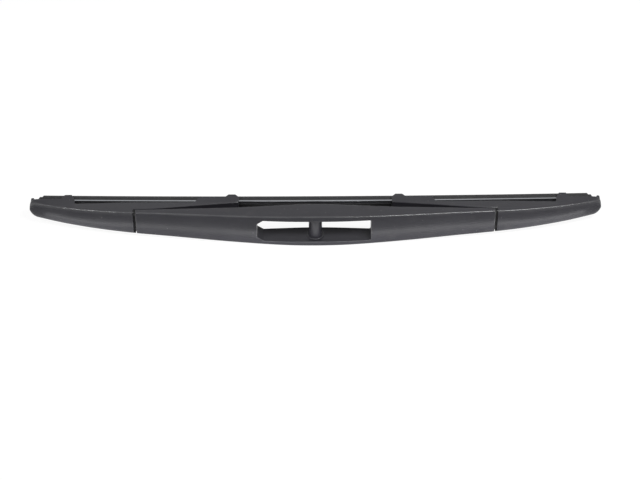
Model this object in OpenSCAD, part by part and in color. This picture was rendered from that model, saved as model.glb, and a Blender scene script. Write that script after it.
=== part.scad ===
// Rear-window wiper blade: a moulded bridge with a cross pin, two end yokes that rock on it, and a
// rubber squeegee stiffened by two steel strips.
// X runs along the blade. +Y points to the glass and -Y to the wiper arm. +Z is the side that faces up
// while the blade lies on its side. The origin is the centre of the arm pin.
// A depth is a height above the steel strips at the middle of the blade, counted away from the glass.

/* [Blade] */
// Length over the two end covers
blade_length = 305; // [297:1:315]
// Distance of the rubber's ends from the tips
rubber_to_tip = 4; // [3.2:0.1:6]
// How far the squeegee's ends bend towards the glass
bow = 1.8; // [1:0.1:2.2]

/* [Back] */
// Depth of the back's edge at the middle
back_mid = 21.8; // [21:0.1:23.5]
// Depth of the back's edge at the seams
back_seam = 13.8; // [13.4:0.1:14.6]
// Depth of the back's edge at the tips
back_tip = 1.4; // [1:0.1:1.8]
// Half width of the back at the middle
side_mid = 9.9; // [9.7:0.1:11]
// Half width of the back at the seams
side_seam = 7.1; // [6.9:0.1:7.6]
// Half width of the back at the tips
side_tip = 4.6; // [4.4:0.1:5]
// Rise of the crown between the two edges of the back
crown = 0.5; // [0.2:0.1:1]
// Radius of the back's edges
edge_radius = 0.8; // [0.4:0.1:1.1]
// Radius of the end covers in plan
end_radius = 4; // [2:0.1:4.2]

/* [Bridge] */
// Distance of each seam from the middle
seam_x = 95.6; // [94:0.1:98]
// Gap of each seam
seam_gap = 1.4; // [1.2:0.1:2]
// Depth of the walls' free edge away from the middle
wall_edge = 11.1; // [10.8:0.1:11.4]
// How far the free edge dips at the middle
wall_dip = 1.6; // [0:0.1:2]
// Half length of the dip
dip_half = 45; // [36:1:50]
// Inward lean of the walls
wall_lean = 4; // [0:0.25:5]
// Thickness of the walls
wall = 1.6; // [1.3:0.1:1.8]
// Thickness of the back
back_wall = 1.8; // [1.4:0.1:2.2]
// Thickness of the cross ribs inside
rib = 1.2; // [0.8:0.1:1.6]
// Distance of the cross ribs from the middle
rib_x = [50, 68];
// Thickness of the walls' and the back's rim over the yokes' collars
seam_lip = 0.5; // [0.4:0.1:0.8]

/* [Window] */
// Window's reach to the left of the pin
window_left = 30.8; // [26:0.1:32]
// Window's reach to the right of the pin
window_right = 29.3; // [26:0.1:32]
// Half width of the window
window_half = 6.7; // [6:0.1:6.9]
// Length of the corner chamfers at the left end
chamfer_x = 3.3; // [1:0.1:3.5]
// Width of the corner chamfers at the left end
chamfer_z = 2.4; // [1:0.1:3]
// Corner radius at the right end
corner_right = 0.9; // [0.5:0.1:3]
// Thickness of the bars that close the window's ends
frame_bar = 1.8; // [1.4:0.1:2.4]
// Length over which the cheeks beside the window thin out to the walls
cheek_run = 6; // [4:0.5:10]

/* [Arm pin] */
// Depth of the pin's centre
pin_depth = 15.5; // [15:0.1:16.5]
// Diameter of the pin
pin_d = 7; // [5:0.1:7.6]
// How deep the pin is let into each cheek
pin_seat = 1.3; // [0.8:0.1:1.6]
// Play around the seated pin
pin_play = 0.04; // [0.02:0.01:0.1]
// Height of the boss around the pin
boss_rise = 0.5; // [0.3:0.1:0.8]
// Width of the boss's ring
boss_ring = 1; // [0.6:0.1:1.6]

/* [Yoke pivot] */
// Distance of the yoke pivots from the middle
pivot_x = 88.5; // [86:0.5:91]
// Depth of the pivots
pivot_depth = 6.9; // [6.8:0.1:7.2]
// Diameter of the trunnions
trunnion_d = 3; // [2.4:0.1:3.2]
// Length of the trunnions
trunnion_length = 1.3; // [1:0.1:1.4]
// Radial play of the trunnions
trunnion_play = 0.05; // [0.03:0.01:0.09]
// Thickness of the pivot cheeks
cheek = 1.5; // [1.2:0.1:2]
// Side play of the pivot cheeks
cheek_play = 0.2; // [0.15:0.05:0.3]

/* [Collars] */
// How far the yokes' collars reach under the bridge
collar_reach = 2; // [1.4:0.1:2.4]
// Room beyond the collars' ends
collar_room = 0.7; // [0.6:0.1:1]
// Side play of the collars
collar_play = 0.12; // [0.1:0.01:0.2]
// Room above the collars for the yokes to rock
collar_rise = 0.5; // [0.45:0.05:0.8]

/* [Yokes] */
// Distance of the arms' free ends from the middle
arm_end = 40.8; // [38:0.1:42]
// Half width of the arms' lower edges at the free ends
arm_half_end = 5.9; // [5.6:0.1:6]
// Half width of the arms' lower edges at the seams
arm_half_seam = 6; // [5.9:0.1:6.1]
// Half width of the end covers' lower edges at the end claws
foot_half = 5.1; // [5:0.1:5.4]
// Gap between an arm and the bridge's free edge
arm_gap = 1.1; // [0.8:0.1:1.3]
// Height of the arms at the free ends
arm_height_end = 1.6; // [1.2:0.1:1.8]
// Depth of the flanks' raised lower edge
flank_edge = 3.5; // [3.4:0.1:3.8]
// Depth of the flanks' lower edge where they cover the strips
skirt_edge = -0.8; // [-1:0.1:-0.6]
// Length of the arms' skirt from the free ends
skirt_length = 20.7; // [18:0.1:23]
// Thickness of the arms' flanks
flank = 1.9; // [1.7:0.1:2]
// Thickness of the arms' web
web = 1; // [0.8:0.1:1.1]
// Thickness of the end covers' walls
cover_wall = 1.3; // [1:0.1:1.4]
// Thickness of the walls that close the end covers
end_wall = 2.2; // [1.6:0.1:2.6]
// Half width of the end stop
stop_half = 3.4; // [3:0.1:3.6]
// Reach of the end stop past the skirt
stop_reach = 3.1; // [2.4:0.1:3.4]

/* [Claws] */
// Distance of the end claws from the tips
claw_to_tip = 20.5; // [17:0.5:24]
// Length of a claw at its root
claw_root = 7.4; // [6:0.1:8]
// Length of a claw at its tip
claw_tip = 3.6; // [2.5:0.1:4.5]
// How far the claws stand back from the outside of the flanks
claw_inset = 0.05; // [0.03:0.01:0.3]
// Thickness of the claws' fingers
finger = 1.1; // [0.8:0.1:1.2]

/* [Squeegee] */
// Half width of the rubber's head
head_half = 3; // [2.6:0.1:3.3]
// Height of the rubber's head above the strips' middle
head_top = 1.9; // [1.6:0.1:2]
// Half width of the flange under the strips
flange_half = 3.2; // [2.8:0.1:3.5]
// Thickness of the flange
flange = 1; // [0.8:0.1:1.2]
// Half width of the neck
neck_half = 1.1; // [0.9:0.1:1.2]
// Height of the neck's groove
groove = 1.6; // [1.5:0.1:1.9]
// Half width of the shoulder
shoulder_half = 2.5; // [2:0.1:2.8]
// Height of the shoulder
shoulder = 1.7; // [1.4:0.1:2.2]
// Height of the lip
lip = 3.3; // [2.6:0.1:3.6]
// Thickness of the lip
lip_wall = 0.8; // [0.7:0.1:1]
// Radius at the root of the lip
lip_root = 0.9; // [0.6:0.1:1.1]
// Chamfer of the rubber's ends
rubber_chamfer = 2.3; // [1:0.1:3]

/* [Strips] */
// Distance of the strips' ends from the rubber's ends
strip_to_end = 3.5; // [1:0.1:8]
// Thickness of each strip
strip_thick = 0.8; // [0.6:0.05:0.9]
// Distance of the strips' inner edge from the middle plane
strip_inner = 1.55; // [1.4:0.05:1.8]
// Distance of the strips' outer edge from the middle plane
strip_outer = 3.75; // [3.5:0.05:3.85]
// Play of the strips in their slots
strip_play = 0.03; // [0.02:0.01:0.06]

/* [Clearances] */
// Play between the rubber with its strips and the claws
rubber_play = 0.28; // [0.2:0.02:0.3]

/* [Hidden] */

PLASTIC = [0.27, 0.27, 0.29];
RUBBER = [0.2, 0.2, 0.21];
STEEL = [0.66, 0.67, 0.69];
// Overlap of solids that are joined, and reach of cutters past a face
lap = 0.4;
past = 10;
// Spacing of the sections along the curved shells
step = 5;
// Sides of a full circle
ROUND = 64;
// Segments of a full turn of the bowed extrusions
BOW_ROUND = 1800;

half = blade_length / 2;
rubber_end = half - rubber_to_tip;
strip_end = rubber_end - strip_to_end;
claw_outer = half - claw_to_tip;
claw_inner = arm_end + claw_root / 2;
skirt_inner = arm_end + skirt_length;
bridge_half = seam_x - seam_gap / 2;
cover_start = seam_x + seam_gap / 2;
collar_start = bridge_half - collar_reach;
pin_half = window_half + pin_seat - pin_play;
claw_clear = strip_outer + rubber_play;
bow_radius = (pow(rubber_end, 2) + pow(bow, 2)) / (2 * bow);
neck_top = -strip_thick / 2 - flange;
shoulder_top = neck_top - groove;
lip_top = shoulder_top - shoulder;
lip_tip = lip_top - lip;
finger_top = neck_top - (groove - finger) / 2;
pivot_inner = arm_half(pivot_x) - flank;
pivot_cheek = pivot_inner - cheek_play;

// Value a share of the way from a to b
function mix(a, b, share) = a + (b - a) * share;

// Smooth step from 0 at a to 1 at b
function ease(a, b, x) = let(t = max(0, min(1, (x - a) / (b - a)))) t * t * (3 - 2 * t);

// Slope of a curve at its point i: level at the first point, so that mirrored halves meet smoothly
function slope(p, i) =
    i == 0 ? 0
    : let(j = min(i + 1, len(p) - 1)) (p[j][1] - p[i - 1][1]) / (p[j][0] - p[i - 1][0]);

// Number of the curve's span that holds x
function span(p, x, i = 0) = i >= len(p) - 2 || x < p[i + 1][0] ? i : span(p, x, i + 1);

// Height at x of the smooth curve through the points p
function curve(p, x) =
    let(
        i = span(p, x),
        run = p[i + 1][0] - p[i][0],
        t = (x - p[i][0]) / run
    )
    p[i][1] * (2 * pow(t, 3) - 3 * t * t + 1) + p[i + 1][1] * (3 * t * t - 2 * pow(t, 3))
    + run * (slope(p, i) * (pow(t, 3) - 2 * t * t + t) + slope(p, i + 1) * (pow(t, 3) - t * t));

// Edge of the back, seen from the side: [distance from the middle, depth]
back_line = [
    [0, back_mid],
    [0.2 * seam_x, mix(back_mid, back_seam, 0.05)],
    [0.47 * seam_x, mix(back_mid, back_seam, 0.315)],
    [0.8 * seam_x, mix(back_mid, back_seam, 0.755)],
    [seam_x, back_seam],
    [mix(seam_x, half, 0.32), mix(back_seam, back_tip, 0.2)],
    [mix(seam_x, half, 0.65), mix(back_seam, back_tip, 0.51)],
    [mix(seam_x, half, 0.9), mix(back_seam, back_tip, 0.845)],
    [half, back_tip]
];

// Edge of the back, seen from above: [distance from the middle, half width]
side_line = [
    [0, side_mid],
    [0.36 * seam_x, mix(side_mid, side_seam, 0.27)],
    [0.69 * seam_x, mix(side_mid, side_seam, 0.61)],
    [seam_x, side_seam],
    [mix(seam_x, half, 0.65), mix(side_seam, side_tip, 0.66)],
    [half, side_tip]
];

// Upper edge of an arm, seen from the side: [distance from the middle, depth]
arm_low = head_top + rubber_play + arm_height_end;
arm_high = wall_edge - arm_gap;
arm_line = [
    [0, mix(arm_low, arm_high, -0.6)],
    [arm_end, arm_low],
    [mix(arm_end, pivot_x, 0.5), mix(arm_low, arm_high, 0.47)],
    [mix(arm_end, pivot_x, 0.95), mix(arm_low, arm_high, 0.92)],
    [mix(pivot_x, cover_start, 0.5), arm_high],
    [cover_start + lap, arm_high]
];

function back_depth(x) = curve(back_line, abs(x));
function back_half(x) =
    let(from_round = max(0, abs(x) - half + end_radius))
    curve(side_line, abs(x)) - end_radius + sqrt(pow(end_radius, 2) - pow(from_round, 2));
function arm_half(x) = mix(arm_half_end, arm_half_seam, (x - arm_end) / (seam_x - arm_end));
// Half width of an arm at x and a depth: its flanks lean out as the end cover's walls do at the seam
function flank_half(x, depth) =
    arm_half(x) + (side_seam - arm_half_seam) / (back_seam - flank_edge) * max(0, depth - flank_edge);
function free_edge(x) = wall_edge - wall_dip * (1 - ease(0, dip_half, abs(x)));
// How far the bowed strips lie towards the glass at x
function sag(x) = bow_radius - sqrt(pow(bow_radius, 2) - x * x);

// Half outline [z, depth] of a crowned back, from its side wall to its middle
function crest(w, depth, radius, rise) = [
    [w, depth - radius],
    for (a = [30, 60]) [w - radius * (1 - cos(a)), depth - radius * (1 - sin(a))],
    for (s = [1, 0.7, 0.35, 0]) [(w - radius) * s, depth + rise * (1 - s * s)]
];

// Half outline followed by its mirror image: a last point that lies on the middle is taken once
function both_sides(outline) =
    let(on_middle = outline[len(outline) - 1][0] == 0 ? 1 : 0)
    concat(outline, [for (i = [len(outline) - 1 - on_middle:-1:0]) [-outline[i][0], outline[i][1]]]);

// Points at x of an outline given as [z, depth]
function ring(x, outline) = [for (p = outline) [x, pin_depth - p[1], p[0]]];

// Distances from a to b in equal steps of about the spacing
function stations(a, b) = let(n = ceil(abs(b - a) / step)) [for (i = [0:n]) mix(a, b, i / n)];

// Solid skinned over rings of equal length, the first and last ring closed flat
module loft(rings) {
    n = len(rings[0]);
    last = len(rings) - 1;
    polyhedron(
        points = [for (r = rings) each r],
        faces = [
            [for (i = [0:n - 1]) i],
            [for (i = [n - 1:-1:0]) last * n + i],
            for (k = [0:last - 1], i = [0:n - 1])
                let(a = k * n + i, b = k * n + (i + 1) % n)
                each [[a, b + n, b], [a, a + n, b + n]]
        ],
        convexity = 8
    );
}

// Profile drawn as [x, depth], given a thickness from z0 to z1
module side_plate(points, z0, z1) {
    translate([0, 0, z0])
        linear_extrude(z1 - z0)
            polygon([for (p = points) [p[0], pin_depth - p[1]]]);
}

// How far the bridge's walls lean in at x between the back's edge and a depth
function lean(x, depth) = tan(wall_lean) * (back_depth(x) - depth);

// Half width inside the bridge at x: thin walls that grow into thick cheeks towards the window
function room_half(x, depth) =
    let(run_start = window_left + frame_bar)
    mix(window_half, back_half(x) - lean(x, depth) - wall, ease(run_start, run_start + cheek_run, abs(x)));

module bridge_outside() {
    loft([
        for (x = stations(-bridge_half, bridge_half))
            ring(x, both_sides(concat(
                [[back_half(x) - lean(x, free_edge(x)), free_edge(x)]],
                crest(back_half(x), back_depth(x), edge_radius, crown)
            )))
    ]);
}

// Room inside the bridge between one of the window's bars and a seam
module bridge_room(start, end) {
    loft([
        for (x = stations(start, end))
            let(roof = back_depth(x) - back_wall)
            ring(x, both_sides([
                [room_half(x, free_edge(x)), free_edge(x) - step],
                [room_half(x, roof), roof - edge_radius],
                [room_half(x, roof) - edge_radius, roof],
                [0, roof + crown]
            ]))
    ]);
}

// Solid that leaves an even skin under the walls and the back near a seam, drawn in by a side play and a rise
module seam_core(start, end, foot, play, rise) {
    loft([
        for (x = [start, end])
            let(
                top = back_depth(x) - seam_lip - rise,
                half_top = back_half(x) - lean(x, top) - seam_lip - play,
                half_foot = back_half(x) - lean(x, foot) - seam_lip - play
            )
            ring(x, both_sides([
                [half_foot, foot],
                [half_top, top - edge_radius],
                [half_top - edge_radius, top],
                [0, top + crown]
            ]))
    ]);
}

// Half outline [x, z] of the window: rounded corners at its right end and chamfered ones at its left end
window_outline = [
    for (a = [0:15:90])
        [window_right - corner_right * (1 - cos(a)), window_half - corner_right * (1 - sin(a))],
    [-window_left + chamfer_x, window_half],
    [-window_left, window_half - chamfer_z]
];

module window_cut() {
    n = len(window_outline);
    translate([0, pin_depth, 0])
        rotate([90, 0, 0])
            linear_extrude(back_mid + past)
                polygon(concat(
                    window_outline,
                    [for (i = [n - 1:-1:0]) [window_outline[i][0], -window_outline[i][1]]]
                ));
}

// Cross rib inside the bridge, standing back from the free edge
module bridge_rib(x) {
    inner = back_half(x) - wall + lap;
    edge = mix(wall_edge, back_depth(x), 0.3);
    translate([x - rib / 2, pin_depth - back_depth(x) + back_wall - lap, -inner])
        cube([rib, back_depth(x) - back_wall - edge + lap, 2 * inner]);
}

// The two cheeks and trunnions that carry a yoke
module pivot_cheeks(x) {
    radius = trunnion_d / 2 + 0.6;
    root = back_depth(pivot_x) - back_wall + lap;
    for (side = [-1, 1])
        translate([x, pin_depth - pivot_depth, side * (pivot_cheek - cheek / 2)]) {
            cylinder(r = radius, h = cheek, center = true, $fn = ROUND);
            translate([-radius, pivot_depth - root, -cheek / 2])
                cube([2 * radius, root - pivot_depth, cheek]);
            translate([0, 0, side * (trunnion_length + cheek - lap) / 2])
                cylinder(d = trunnion_d, h = trunnion_length + lap, center = true, $fn = ROUND);
        }
}

module pin_bosses() {
    for (side = [-1, 1])
        translate([0, 0, side * (window_half + (lap - boss_rise) / 2)])
            cylinder(d = pin_d + 2 * boss_ring, h = boss_rise + lap, center = true, $fn = ROUND);
}

module bridge() {
    color(PLASTIC)
        difference() {
            union() {
                difference() {
                    bridge_outside();
                    bridge_room(-bridge_half - step, -window_left - frame_bar);
                    bridge_room(window_right + frame_bar, bridge_half + step);
                    window_cut();
                    for (side = [0, 1])
                        mirror([side, 0, 0])
                            seam_core(
                                collar_start - collar_room, bridge_half + step,
                                free_edge(seam_x) - step, 0, 0
                            );
                }
                pin_bosses();
                for (side = [-1, 1]) {
                    pivot_cheeks(side * pivot_x);
                    for (x = rib_x) bridge_rib(side * x);
                }
            }
            cylinder(
                r = pin_d / 2 + pin_play, h = 2 * (window_half + pin_seat),
                center = true, $fn = ROUND
            );
        }
}

module arm_pin() {
    color(PLASTIC)
        cylinder(d = pin_d, h = 2 * pin_half, center = true, $fn = ROUND);
}

// Lower edge of the end cover at x: raised, then dropping to a skirt at the end claw
function cover_edge(x) = mix(flank_edge, skirt_edge, ease(claw_outer - 5, claw_outer - 1, x));

// Half width of the end cover at its lower edge
function cover_foot(x) =
    let(round_in = curve(side_line, x) - back_half(x))
    mix(arm_half_seam, foot_half, ease(seam_x, claw_outer, x)) - round_in;

module cover_outside() {
    loft([
        for (x = concat(
            stations(cover_start, claw_outer - 5),
            [claw_outer - 3.7, claw_outer - 2.3],
            stations(claw_outer - 1, half - end_radius),
            [for (a = [20:20:80]) half - end_radius * (1 - sin(a))],
            [half]
        ))
            ring(x, both_sides(concat(
                [[cover_foot(x), cover_edge(x)]],
                crest(back_half(x), back_depth(x), min(edge_radius, back_half(x) / 3), crown)
            )))
    ]);
}

module cover_inside() {
    loft([
        for (x = stations(cover_start + cover_wall, half - end_wall))
            let(
                top = max(back_depth(x) - cover_wall, head_top - sag(x) + rubber_play),
                w = min(back_half(half - end_radius), back_half(x)) - cover_wall,
                foot = max(claw_clear, cover_foot(min(x, half - end_radius)) - cover_wall)
            )
            ring(x, both_sides([
                [foot, skirt_edge - past],
                [foot, min(flank_edge, top - 0.4)],
                [w, top - 0.3],
                [w - 0.3, top],
                [0, top + crown / 2]
            ]))
    ]);
}

// Lower edge of the arm at x: a skirt over the strips near the inner claw, then raised
function arm_edge(x) = mix(skirt_edge, flank_edge, ease(skirt_inner, skirt_inner + 3, x));

module arm_outside() {
    chamfer = 0.4;
    loft([
        for (x = concat(
            stations(arm_end, skirt_inner),
            [skirt_inner + 1, skirt_inner + 2],
            stations(skirt_inner + 3, cover_start + lap)
        ))
            let(top = curve(arm_line, x), w = flank_half(x, top - chamfer))
            ring(x, both_sides([
                [flank_half(x, arm_edge(x)), arm_edge(x)],
                [w, top - chamfer],
                [w - chamfer, top],
                [0, top]
            ]))
    ]);
}

// Channel in the arm, open to the bridge, that takes the pivot cheeks
module arm_channel() {
    loft([
        for (x = stations(skirt_inner + 6, cover_start - lap))
            let(w = arm_half(x) - flank)
            ring(x, both_sides([[w, flank_edge + web], [w, wall_edge + past]]))
    ]);
}

// Channel under the arm and the cover that holds the rubber's head
module rubber_channel() {
    translate([arm_end - past, pin_depth - head_top - rubber_play, -claw_clear])
        cube([skirt_inner + 3 - arm_end + past, head_top + past, 2 * claw_clear]);
}

// Pair of claws at x: tapering legs with fingers that reach into the rubber's groove
module claw(x, flank_outside) {
    top = mix(skirt_edge, flank_edge, 0.7);
    base = skirt_edge + 0.6;
    tip = finger_top - finger - sag(x);
    for (side = [-1, 1]) {
        inner = side * claw_clear;
        outer = side * (flank_outside - claw_inset);
        side_plate(
            [
                [x - claw_root / 2, top],
                [x - claw_root / 2, base],
                [x - claw_tip / 2, tip],
                [x + claw_tip / 2, tip],
                [x + claw_root / 2, base],
                [x + claw_root / 2, top]
            ],
            min(inner, outer), max(inner, outer)
        );
        reach = side * (neck_half + rubber_play);
        side_plate(
            [
                [x - claw_tip / 2, tip + finger],
                [x - claw_tip / 2, tip],
                [x + claw_tip / 2, tip],
                [x + claw_tip / 2, tip + finger]
            ],
            min(reach, inner + side * lap), max(reach, inner + side * lap)
        );
    }
}

// Tongue at the tip that keeps the rubber from sliding out
module end_stop() {
    thick = end_wall - 0.6;
    side_plate(
        [
            [half - end_wall, skirt_edge + 1],
            [half - end_wall, skirt_edge - stop_reach + 0.6],
            [half - end_wall + 0.6, skirt_edge - stop_reach],
            [half - end_wall + thick, skirt_edge - stop_reach + 0.4],
            [half - end_wall + thick, skirt_edge + 1]
        ],
        -stop_half, stop_half
    );
}

module pivot_sockets() {
    depth = 2 * (pivot_cheek + trunnion_length + cheek_play / 2);
    translate([pivot_x, pin_depth - pivot_depth, 0])
        cylinder(r = trunnion_d / 2 + trunnion_play, h = depth, center = true, $fn = ROUND);
}

// Right-hand yoke
module yoke() {
    color(PLASTIC)
        union() {
            difference() {
                cover_outside();
                cover_inside();
            }
            difference() {
                arm_outside();
                arm_channel();
                rubber_channel();
                pivot_sockets();
            }
            seam_core(collar_start, cover_start + lap, arm_high - lap, collar_play, collar_rise);
            claw(claw_inner, arm_half(arm_end));
            claw(claw_outer, cover_foot(claw_outer));
            end_stop();
        }
}

module right_yoke() {
    yoke();
}

module left_yoke() {
    mirror([1, 0, 0]) yoke();
}

// Half section of the rubber as [distance from the middle plane, depth], from its head to its lip
rubber_half = [
    [head_half, head_top],
    [head_half, strip_thick / 2 + strip_play],
    [strip_inner - strip_play, strip_thick / 2 + strip_play],
    [strip_inner - strip_play, -strip_thick / 2 - strip_play],
    [flange_half, -strip_thick / 2 - strip_play],
    [flange_half, neck_top],
    [neck_half, neck_top],
    [neck_half, shoulder_top],
    [shoulder_half - 0.3, shoulder_top],
    [shoulder_half, shoulder_top - 0.3],
    [shoulder_half, lip_top + 0.6],
    for (a = [0:30:90])
        [lip_wall / 2 + lip_root * (1 - sin(a)), lip_top - lip_root * (1 - cos(a))],
    [lip_wall / 2, lip_tip]
];

// Section [z, depth] swept along the bow to a distance of end on both sides of the middle
module bowed(section, end) {
    turn = 2 * asin(end / bow_radius);
    translate([0, pin_depth + bow_radius, 0])
        rotate([0, 0, -90 - turn / 2])
            rotate_extrude(angle = turn, $fn = BOW_ROUND)
                polygon([for (p = section) [bow_radius + p[1], p[0]]]);
}

module squeegee() {
    drop = sag(rubber_end);
    color(RUBBER)
        difference() {
            bowed(both_sides(rubber_half), rubber_end);
            for (side = [-1, 1])
                side_plate(
                    [
                        [side * (rubber_end - rubber_chamfer), lip_tip - drop - 0.1],
                        [side * (rubber_end + 0.1), neck_top - drop],
                        [side * (rubber_end + past), neck_top - drop],
                        [side * (rubber_end + past), lip_tip - drop - past],
                        [side * (rubber_end - rubber_chamfer), lip_tip - drop - past]
                    ],
                    -past, past
                );
        }
}

// Flat strip in the side slot on the +Z or the -Z side
module strip(side) {
    color(STEEL)
        bowed(
            [
                [side * strip_inner, -strip_thick / 2],
                [side * strip_outer, -strip_thick / 2],
                [side * strip_outer, strip_thick / 2],
                [side * strip_inner, strip_thick / 2]
            ],
            strip_end
        );
}

module upper_strip() {
    strip(1);
}

module lower_strip() {
    strip(-1);
}

bridge();
arm_pin();
left_yoke();
right_yoke();
squeegee();
upper_strip();
lower_strip();
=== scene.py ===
"""Studio scene of a rear-window wiper blade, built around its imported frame.

The blade is modelled in millimetres and scaled to metres once each piece is finished. X runs along the
blade, +Y points to the glass and +Z is the side that faces up while the blade lies on its side. A depth
is a height above the steel strips at the middle of the blade, counted away from the glass.
"""

from __future__ import annotations

import logging
import math
from collections.abc import Callable, Iterable, Sequence
from dataclasses import dataclass
from enum import Enum

import bmesh
import bpy
from mathutils import Matrix, Vector

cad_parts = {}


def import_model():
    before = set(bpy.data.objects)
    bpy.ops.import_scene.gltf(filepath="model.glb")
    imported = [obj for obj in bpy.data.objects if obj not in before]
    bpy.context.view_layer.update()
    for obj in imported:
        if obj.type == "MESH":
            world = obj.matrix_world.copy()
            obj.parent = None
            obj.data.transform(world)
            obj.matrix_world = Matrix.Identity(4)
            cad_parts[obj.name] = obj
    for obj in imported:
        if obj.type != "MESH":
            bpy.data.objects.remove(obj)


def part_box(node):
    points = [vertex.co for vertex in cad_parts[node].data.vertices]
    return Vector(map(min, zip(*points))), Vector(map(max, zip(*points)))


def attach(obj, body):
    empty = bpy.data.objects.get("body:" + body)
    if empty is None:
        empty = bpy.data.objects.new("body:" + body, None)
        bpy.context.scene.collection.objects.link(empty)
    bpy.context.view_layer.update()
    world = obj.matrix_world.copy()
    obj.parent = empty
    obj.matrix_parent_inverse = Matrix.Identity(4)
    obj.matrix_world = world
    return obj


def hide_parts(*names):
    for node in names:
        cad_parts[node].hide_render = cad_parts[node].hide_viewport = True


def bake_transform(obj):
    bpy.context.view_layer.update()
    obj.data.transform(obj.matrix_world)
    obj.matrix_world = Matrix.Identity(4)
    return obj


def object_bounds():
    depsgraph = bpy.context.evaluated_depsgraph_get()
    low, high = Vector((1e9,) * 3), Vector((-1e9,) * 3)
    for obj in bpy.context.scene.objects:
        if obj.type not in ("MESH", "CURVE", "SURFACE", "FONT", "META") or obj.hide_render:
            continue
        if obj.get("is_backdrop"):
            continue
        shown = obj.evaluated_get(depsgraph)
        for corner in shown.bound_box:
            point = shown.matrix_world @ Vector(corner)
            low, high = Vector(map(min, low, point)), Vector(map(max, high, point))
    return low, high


LOG = logging.getLogger("wiper_blade")
MM = 0.001
COLUMN_STEP = 2.5
REAL_CORNER = math.radians(20)
Outline = Sequence[tuple[float, float]]


def mix(a: float, b: float, share: float) -> float:
    """Value a share of the way from a to b."""
    return a + (b - a) * share


def ease(a: float, b: float, x: float) -> float:
    """Smooth step from 0 at a to 1 at b."""
    t = max(0.0, min(1.0, (x - a) / (b - a)))
    return t * t * (3 - 2 * t)


def stations(a: float, b: float, spacing: float) -> list[float]:
    """Distances from a to b in equal steps.

    Args:
        a: First distance.
        b: Last distance.
        spacing: Longest step.

    Returns:
        The distances, with both ends.
    """
    count = max(1, math.ceil(abs(b - a) / spacing))
    return [mix(a, b, i / count) for i in range(count + 1)]


def in_order(distances: Iterable[float]) -> list[float]:
    """Distances sorted, with repeated ones taken once."""
    return sorted({round(x, 4) for x in distances})


def eased_corners(outline: Outline, reach: float) -> list[tuple[float, float]]:
    """Closed outline with a small round at each real corner.

    Args:
        outline: Corners of the outline in order.
        reach: How far each round reaches from its corner.

    Returns:
        The outline with three points for each corner that is rounded.
    """
    points = [Vector(corner) for corner in outline]
    eased = []
    for i, corner in enumerate(points):
        back, on = points[i - 1] - corner, points[(i + 1) % len(points)] - corner
        if math.pi - back.angle(on) < REAL_CORNER:
            eased.append(corner)
            continue
        start = corner + back * min(0.4, reach / back.length)
        end = corner + on * min(0.4, reach / on.length)
        eased += [start, corner / 2 + (start + end) / 4, end]
    return [(point.x, point.y) for point in eased]


def both_sides(outline: Outline) -> list[tuple[float, float]]:
    """Half outline of (z, depth) followed by its mirror image.

    Args:
        outline: Points from one side to the middle plane.

    Returns:
        The whole outline, with a last point on the middle plane taken once.
    """
    shared = 1 if abs(outline[-1][0]) < 1e-9 else 0
    return [*outline, *[(-z, depth) for z, depth in reversed(outline[: len(outline) - shared])]]


@dataclass(frozen=True)
class SmoothLine:
    """Curve through points of (distance from the middle, value), level at its first point."""

    points: tuple[tuple[float, float], ...]

    def slope(self, i: int) -> float:
        """Slope of the curve at its point i.

        Args:
            i: Number of the point, from 0.

        Returns:
            The slope there.
        """
        if i == 0:
            return 0.0
        (x0, y0), (x1, y1) = self.points[i - 1], self.points[min(i + 1, len(self.points) - 1)]
        return (y1 - y0) / (x1 - x0)

    def at(self, x: float) -> float:
        """Value of the curve at x.

        Args:
            x: Distance from the middle.

        Returns:
            The value there.
        """
        i = 0
        while i < len(self.points) - 2 and x >= self.points[i + 1][0]:
            i += 1
        (x0, y0), (x1, y1) = self.points[i], self.points[i + 1]
        run = x1 - x0
        t = (x - x0) / run
        along = 3 * t**2 - 2 * t**3
        bend = self.slope(i) * (t**3 - 2 * t**2 + t) + self.slope(i + 1) * (t**3 - t**2)
        return mix(y0, y1, along) + run * bend


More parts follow.
